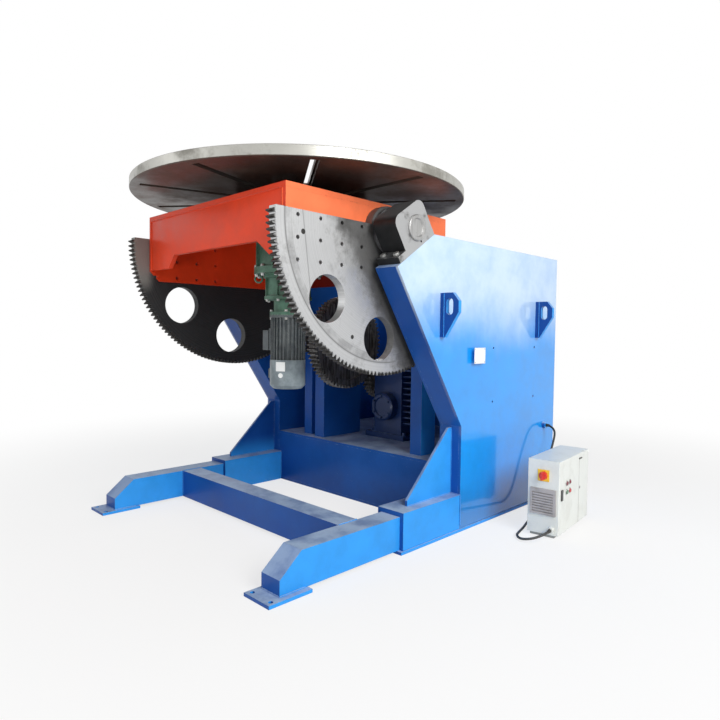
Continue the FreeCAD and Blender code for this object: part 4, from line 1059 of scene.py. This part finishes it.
@dataclass
class RotationDrive:
    """Flange screws, blank plates and cable outlet of the hanging drive."""

    step_height: float = 1.453
    neck_height: float = 1.319
    plate_turn: float = math.radians(-62)
    plate_out: float = 0.0985
    plate_half: float = 0.026
    plate_low: float = 0.934
    outlet_start: float = 0.090
    outlet_end: float = 0.146
    outlet_half: tuple[float, float] = (0.022, 0.028)

    def screws(self, x: float, y: float) -> Shape:
        """Screws of the reducer's steps and the motor's flange.

        Args:
            x: The drive's axis, x.
            y: The drive's axis, y.

        Returns:
            The screws.
        """
        low, high = span("rotation_reducer")
        flange = span("rotation_motor")[1].z
        rim = (high.x - low.x) / 2
        shape = Shape()
        for height, up, radius, count, across, start in (
                (high.z - 0.018, -1, rim - 0.013, 12, 0.022, 7.5),
                (self.step_height, -1, rim - 0.014, 12, 0.020, 0.0),
                (self.step_height + 0.036, 1, rim - 0.012, 12, 0.020, 0.0),
                (self.neck_height, -1, 0.118, 8, 0.017, 20.0),
                (flange - 0.014, -1, 0.090, 4, 0.018, 45.0),
                (flange + 0.018, 1, 0.090, 4, 0.018, 45.0)):
            shape.circle_of_screws((x, y, height), (0, 0, up), radius, count, across, start)
        return shape

    def outlet(self, x: float, y: float, middle: float) -> Shape:
        """Cable outlet beside the cowl, on the terminal box's side.

        Args:
            x: The drive's axis, x.
            y: The drive's axis, y.
            middle: Height of its middle.

        Returns:
            The outlet.
        """
        box_low, box_high = span("motor_terminal_box")
        beside = ((box_low + box_high) / 2 - Vector((x, y, 0))).to_2d()
        turn = Matrix.Rotation(math.atan2(beside.y, beside.x), 4, "Z")
        pose = Matrix.Translation((x, y, 0)) @ turn
        (wide, tall), end = self.outlet_half, self.outlet_end
        shape = Shape().box((self.outlet_start, -wide, middle - tall),
                            (end, wide, middle + tall), 0.003, pose)
        wide, tall = wide - 0.003, tall - 0.003
        shape.box((end - 0.001, -wide, middle - tall),
                  (end + 0.005, wide, middle + tall), 0.0015, pose)
        gland = [(0, 0), (0.009, 0), (0.009, 0.010), (0.0065, 0.013), (0.0065, 0.020), (0, 0.020)]
        return shape.lathe(gland, pose @ Vector((0.124, 0, middle - 0.028)), (0, 0, -1), 16)

    def build(self) -> None:
        """Add the pieces."""
        low, high = span("rotation_reducer")
        x, y = ((low + high) / 2).to_2d()
        cowl_low, cowl_high = span("motor_cowl")
        middle = (cowl_low.z + cowl_high.z) / 2
        self.screws(x, y).done("reducer_screws", "tilt_frame", Finish.BOLT, "zinc_bolts")
        half, out = self.plate_half, self.plate_out
        pose = Matrix.Translation((x, y, 0)) @ Matrix.Rotation(self.plate_turn, 4, "Z")
        plate = Shape().box((out - 0.006, -half, self.plate_low),
                            (out, half, self.plate_low + 0.05), 0.0008, pose)
        plate.done("blank_motor_plate", "tilt_frame", Finish.PLATE, "motor_grey")
        outlet = self.outlet(x, y, middle - 0.005)
        outlet.done("motor_cable_outlet", "tilt_frame", Finish.MOTOR, "motor_grey")
        outward = pose.to_3x3() @ Vector((1, 0, 0))
        disc = Shape().lathe([(0, 0), (0.012, 0), (0.014, -0.003)],
                             pose @ Vector((out, 0, middle - 0.004)), outward, 30)
        disc.done("blank_cowl_badge", "tilt_frame", Finish.PLATE, "motor_grey")


@dataclass
class TiltDrive:
    """Screws of the worm gearbox and its cover, and the gearbox's breather."""

    cover_circle: float = 0.079
    foot_out: float = 0.15
    foot_inset: float = 0.03
    foot_top: float = 0.038
    breather_out: float = 0.06

    def build(self) -> None:
        """Add the pieces."""
        low, high = span("gearbox_front_cover")
        centre = (low + high) / 2
        box_low, box_high = span("tilt_gearbox")
        screws = Shape().circle_of_screws((centre.x, low.y, centre.z), (0, -1, 0),
                                          self.cover_circle, 6, 0.018, 30)
        for x in (centre.x - self.foot_out, centre.x + self.foot_out):
            for y in (box_low.y + self.foot_inset, box_high.y - self.foot_inset):
                screws.screw((x, y, box_low.z + self.foot_top), (0, 0, 1), 0.03)
        screws.done("gearbox_screws", "base", Finish.DRIVE_BLUE, "zinc_bolts")
        breather = [(0.014, 0), (0.014, 0.012), (0.009, 0.016), (0.009, 0.03), (0.006, 0.034),
                    (0, 0.034)]
        spot = (centre.x - self.breather_out, (box_low.y + box_high.y) / 2, box_high.z)
        plug = Shape().lathe(breather, spot, (0, 0, 1), 20)
        plug.done("gearbox_breather", "base", Finish.BOLT, "zinc_bolts")


@dataclass
class ControlCabinet:
    """Button rims, door seam, grip, lamp and hinges of the control cabinet."""

    turn: float = math.radians(6.0)
    corner: tuple[float, float] = (1.391, -0.290)
    depth: float = 0.510
    seam: float = 0.335
    door: tuple[float, float] = (0.024, 0.418)
    columns: tuple[float, float] = (0.120, 0.170)
    rows: tuple[float, float] = (0.300, 0.250)
    lock_height: float = 0.232
    grip: tuple[float, float] = (0.404, 0.412)
    hinge_heights: tuple[float, float] = (0.08, 0.38)

    def build(self) -> None:
        """Add the pieces."""
        pose = Matrix.Translation((*self.corner, 0)) @ Matrix.Rotation(self.turn, 4, "Z")
        outward = pose.to_3x3() @ Vector((1, 0, 0))
        rims = Shape()
        rim = [(0.0115, 0), (0.016, 0), (0.0165, 0.002), (0.015, 0.0035), (0.0125, 0.0035)]
        for z in self.rows:
            for y in self.columns:
                rims.lathe(rim, pose @ Vector((0, y, z)), outward)
        rims.done("button_rims", "door", Finish.BOLT, "zinc_bolts")
        seam = Shape().box((-0.0002, self.seam - 0.0012, self.door[0]),
                           (0.0008, self.seam + 0.0012, self.door[1]), 0.0003, pose)
        seam.lathe([(0, 0.003), (0.006, 0.003), (0.0085, 0.0015), (0.009, 0)],
                   pose @ Vector((0, self.seam + 0.014, self.lock_height)), outward, 24)
        seam.done("door_fold", "door", Finish.FILTER, "cabinet_grey")
        grip = Shape().box((-0.001, self.seam - 0.008, self.grip[0]),
                           (0.004, self.seam + 0.040, self.grip[1]), 0.0015, pose)
        grip.done("door_grip", "door", Finish.BLACK, "latch_black")
        lamp = Shape().lathe([(0, 0.009), (0.006, 0.0085), (0.0105, 0.0055), (0.0112, 0)],
                             pose @ Vector((0, self.columns[1], self.rows[0])), outward)
        lamp.done("indicator_lamp", "door", Finish.BUTTON_DARK, "button_red")
        hinges = Shape()
        pin = [(0, -0.025), (0.006, -0.025), (0.007, -0.023), (0.007, 0.023), (0.006, 0.025),
               (0, 0.025)]
        for z in self.hinge_heights:
            hinges.lathe(pin, pose @ Vector((-0.02, self.depth + 0.004, z)), (0, 0, 1), 16)
        hinges.done("cabinet_hinges", "base", Finish.BLACK, "latch_black")


@dataclass
class ControlCable:
    """Cable from the cheek's gland down to the floor and round to the control cabinet's gland."""

    diameter: float = 0.014
    length: float = 1.48
    sleeve: float = 0.0104
    ribs: int = 4
    rib_pitch: float = 0.005
    route: tuple[tuple[float, float, float], ...] = (
        (0.949, 0.420, 0.520), (0.975, 0.420, 0.520), (1.0065, 0.416, 0.502),
        (1.0250, 0.402, 0.470), (1.0290, 0.352, 0.390), (1.030, 0.290, 0.276),
        (1.033, 0.240, 0.150), (1.040, 0.190, 0.050), (1.054, 0.120, 0.0076),
        (1.074, 0.050, 0.0076), (1.098, -0.050, 0.0076), (1.126, -0.150, 0.0076),
        (1.156, -0.245, 0.0076), (1.176, -0.330, 0.0076), (1.196, -0.402, 0.009),
        (1.250, -0.452, 0.012), (1.318, -0.452, 0.030), (1.3590, -0.408, 0.050),
        (1.3575, -0.352, 0.052), (1.354, -0.318, 0.052))

    def relief(self, name: str, start: Sequence[float],
               along: Sequence[float]) -> bpy.types.Object:
        """Tapered, ribbed strain relief at a gland.

        Args:
            name: The piece's name.
            start: Mouth of the gland.
            along: Direction in which the cable leaves.

        Returns:
            The piece.
        """
        bore = self.diameter / 2 + 0.0003
        profile = [(bore, -0.008), (self.sleeve, -0.008), (self.sleeve, 0.004)]
        for rib in range(self.ribs):
            wide, rise = self.sleeve - 0.0002 - rib * 0.0005, rib * self.rib_pitch
            profile += [(wide, rise + 0.0055), (wide, rise + 0.008),
                        (wide - 0.0008, rise + 0.0085), (wide - 0.0008, rise + 0.0100)]
        profile += [(bore, 0.0265), (bore, -0.008)]
        shape = Shape().lathe(profile, start, along, 24)
        return shape.done(name, "base", Finish.RUBBER, "latch_black")

    def build(self) -> None:
        """Add the cable and its strain reliefs."""
        curve = bpy.data.curves.new("control_cable", "CURVE")
        curve.dimensions = "3D"
        curve.bevel_depth = self.diameter / 2
        curve.bevel_resolution = 5
        curve.resolution_u = 10
        spline = curve.splines.new("NURBS")
        spline.points.add(len(self.route) - 1)
        for point, spot in zip(spline.points, self.route):
            point.co = (*spot, 1.0)
        spline.order_u = 3
        spline.use_endpoint_u = True
        curve.materials.append(material(Finish.LEAD))
        cable = bpy.data.objects.new("control_cable", curve)
        bpy.context.scene.collection.objects.link(cable)
        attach(cable, "base")
        first = self.relief("cheek_strain_relief", self.route[0], (1.0, 0.0, 0.0))
        outward = Vector(self.route[-2]) - Vector(self.route[-1])
        last = self.relief("cabinet_strain_relief", self.route[-1], (outward.x, outward.y, 0.0))
        LOG.info("control_cable, %.2f m long", self.length)


# ---- room, light and camera -------------------------------------------------------------------
@dataclass(frozen=True)
class Lamp:
    """Large soft lamp aimed at a point."""

    name: str
    place: tuple[float, float, float]
    aim: tuple[float, float, float]
    size: tuple[float, float]
    power: float
    colour: tuple[float, float, float] = (1.0, 1.0, 1.0)

    def build(self) -> None:
        """Add the lamp."""
        data = bpy.data.lights.new(self.name, "AREA")
        data.shape = "RECTANGLE"
        data.size, data.size_y = self.size
        data.energy = self.power
        data.color = self.colour
        lamp = bpy.data.objects.new(self.name, data)
        lamp.location = self.place
        ahead = Vector(self.aim) - Vector(self.place)
        lamp.rotation_euler = ahead.to_track_quat("-Z", "Y").to_euler()
        bpy.context.scene.collection.objects.link(lamp)


@dataclass
class Studio:
    """Camera, pale floor, white surroundings and soft lamps."""

    camera_place: tuple[float, float, float] = (2.843, -3.367, 1.150)
    heading: float = 44.45
    pitch: float = 2.26
    roll: float = 0.74
    lens: float = 29.15
    shift: float = -5 / 720
    ambient: float = 0.15
    floor_half: float = 40.0
    lamps: tuple[Lamp, ...] = (
        Lamp("key_lamp", (6.6, -2.0, 4.2), (0.4, -0.5, 1.0), (4.0, 3.4), 470.0,
             (1.0, 0.99, 0.97)),
        Lamp("front_lamp", (-2.2, -6.6, 2.6), (0.0, -0.6, 1.1), (4.0, 3.0), 55.0),
        Lamp("rear_lamp", (-5.0, 4.5, 4.5), (0.0, -0.4, 1.0), (4.0, 3.0), 120.0),
        Lamp("low_lamp", (1.5, -5.0, 0.5), (0.0, -1.0, 1.7), (2.0, 0.8), 30.0),
    )

    def camera(self) -> None:
        """Add the camera at the working side's corner."""
        a, p, r = (math.radians(v) for v in (self.heading, self.pitch, self.roll))
        ahead = Vector((-math.sin(a) * math.cos(p), math.cos(a) * math.cos(p), -math.sin(p)))
        right = Vector((math.cos(a), math.sin(a), 0.0))
        up = right.cross(ahead)
        right, up = (right * math.cos(r) + up * math.sin(r),
                     up * math.cos(r) - right * math.sin(r))
        data = bpy.data.cameras.new("camera")
        data.lens = self.lens
        data.sensor_width = 36.0
        data.shift_y = self.shift
        data.clip_end = 200.0
        camera = bpy.data.objects.new("camera", data)
        axes = Matrix((right, up, -ahead)).transposed().to_4x4()
        camera.matrix_world = Matrix.Translation(self.camera_place) @ axes
        bpy.context.scene.collection.objects.link(camera)
        bpy.context.scene.camera = camera

    @staticmethod
    def seen(graph: Graph) -> Wire:
        """1 for rays that show the background, 0 for rays that light the object."""
        camera, glossy, through = (graph.node("ShaderNodeLightPath", {}, {}, name) for name in (
            "Is Camera Ray", "Is Glossy Ray", "Is Transmission Ray"))
        return camera.most(glossy).most(through)

    def floor(self) -> None:
        """Add the floor: white towards the distance, with a faint shadow near the part."""
        half = self.floor_half
        data = bpy.data.meshes.new("floor")
        data.from_pydata([(-half, -half, 0), (half, -half, 0), (half, half, 0), (-half, half, 0)],
                         [], [(0, 1, 2, 3)])
        floor = bpy.data.objects.new("floor", data)
        floor.location.z = -0.0005
        bpy.context.scene.collection.objects.link(floor)
        floor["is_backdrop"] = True
        material = bpy.data.materials.new("floor")
        graph = Graph(material)
        where = graph.place()
        far = where.size().ramp(1.6, 5.0, 0.72, 1.0)
        rough = graph.noise(where, 3.0, 4).ramp(0.3, 0.7, 0.7, 0.85)
        matt = graph.node("ShaderNodeBsdfPrincipled", {},
                          {"Base Color": (0.9, 0.9, 0.9, 1.0), "Roughness": rough})
        glow = graph.node("ShaderNodeEmission", {}, {"Color": WHITE, "Strength": 1.0})
        both = graph.node("ShaderNodeMixShader", {}, {0: self.seen(graph) * far, 1: matt, 2: glow})
        graph.node("ShaderNodeOutputMaterial", {}, {"Surface": both})
        data.materials.append(material)

    def world(self) -> None:
        """Set the surroundings: white where they are seen, dimmer where they light the part."""
        world = bpy.data.worlds.new("surroundings")
        bpy.context.scene.world = world
        graph = Graph(world)
        dim = graph.node("ShaderNodeBackground", {},
                         {"Color": (0.93, 0.96, 1.0, 1.0), "Strength": self.ambient})
        white = graph.node("ShaderNodeBackground", {}, {"Color": WHITE, "Strength": 1.0})
        both = graph.node("ShaderNodeMixShader", {}, {0: self.seen(graph), 1: dim, 2: white})
        graph.node("ShaderNodeOutputWorld", {}, {"Surface": both})

    def build(self) -> None:
        """Add everything."""
        self.camera()
        self.floor()
        self.world()
        for lamp in self.lamps:
            lamp.build()
        bpy.context.scene.view_settings.view_transform = "Standard"


def corners(box: Iterable[Sequence[float]]) -> list[list[float]]:
    """A box as plain lists of numbers."""
    return [[float(value) for value in corner] for corner in box]


def main() -> None:
    """Build the scene and work out both boxes."""
    logging.basicConfig(level=logging.INFO)
    before = corners(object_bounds())
    Studio().build()
    dress()
    for assembly in (ControlCable(), BaseFrame(), Cheeks(), TiltingBox(), RotationDrive(),
                     TiltDrive(), ControlCabinet()):
        assembly.build()
        LOG.info("built %s", type(assembly).__name__)
    {"cad": before, "visual": corners(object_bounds())}


if __name__ == "__main__":
    main()
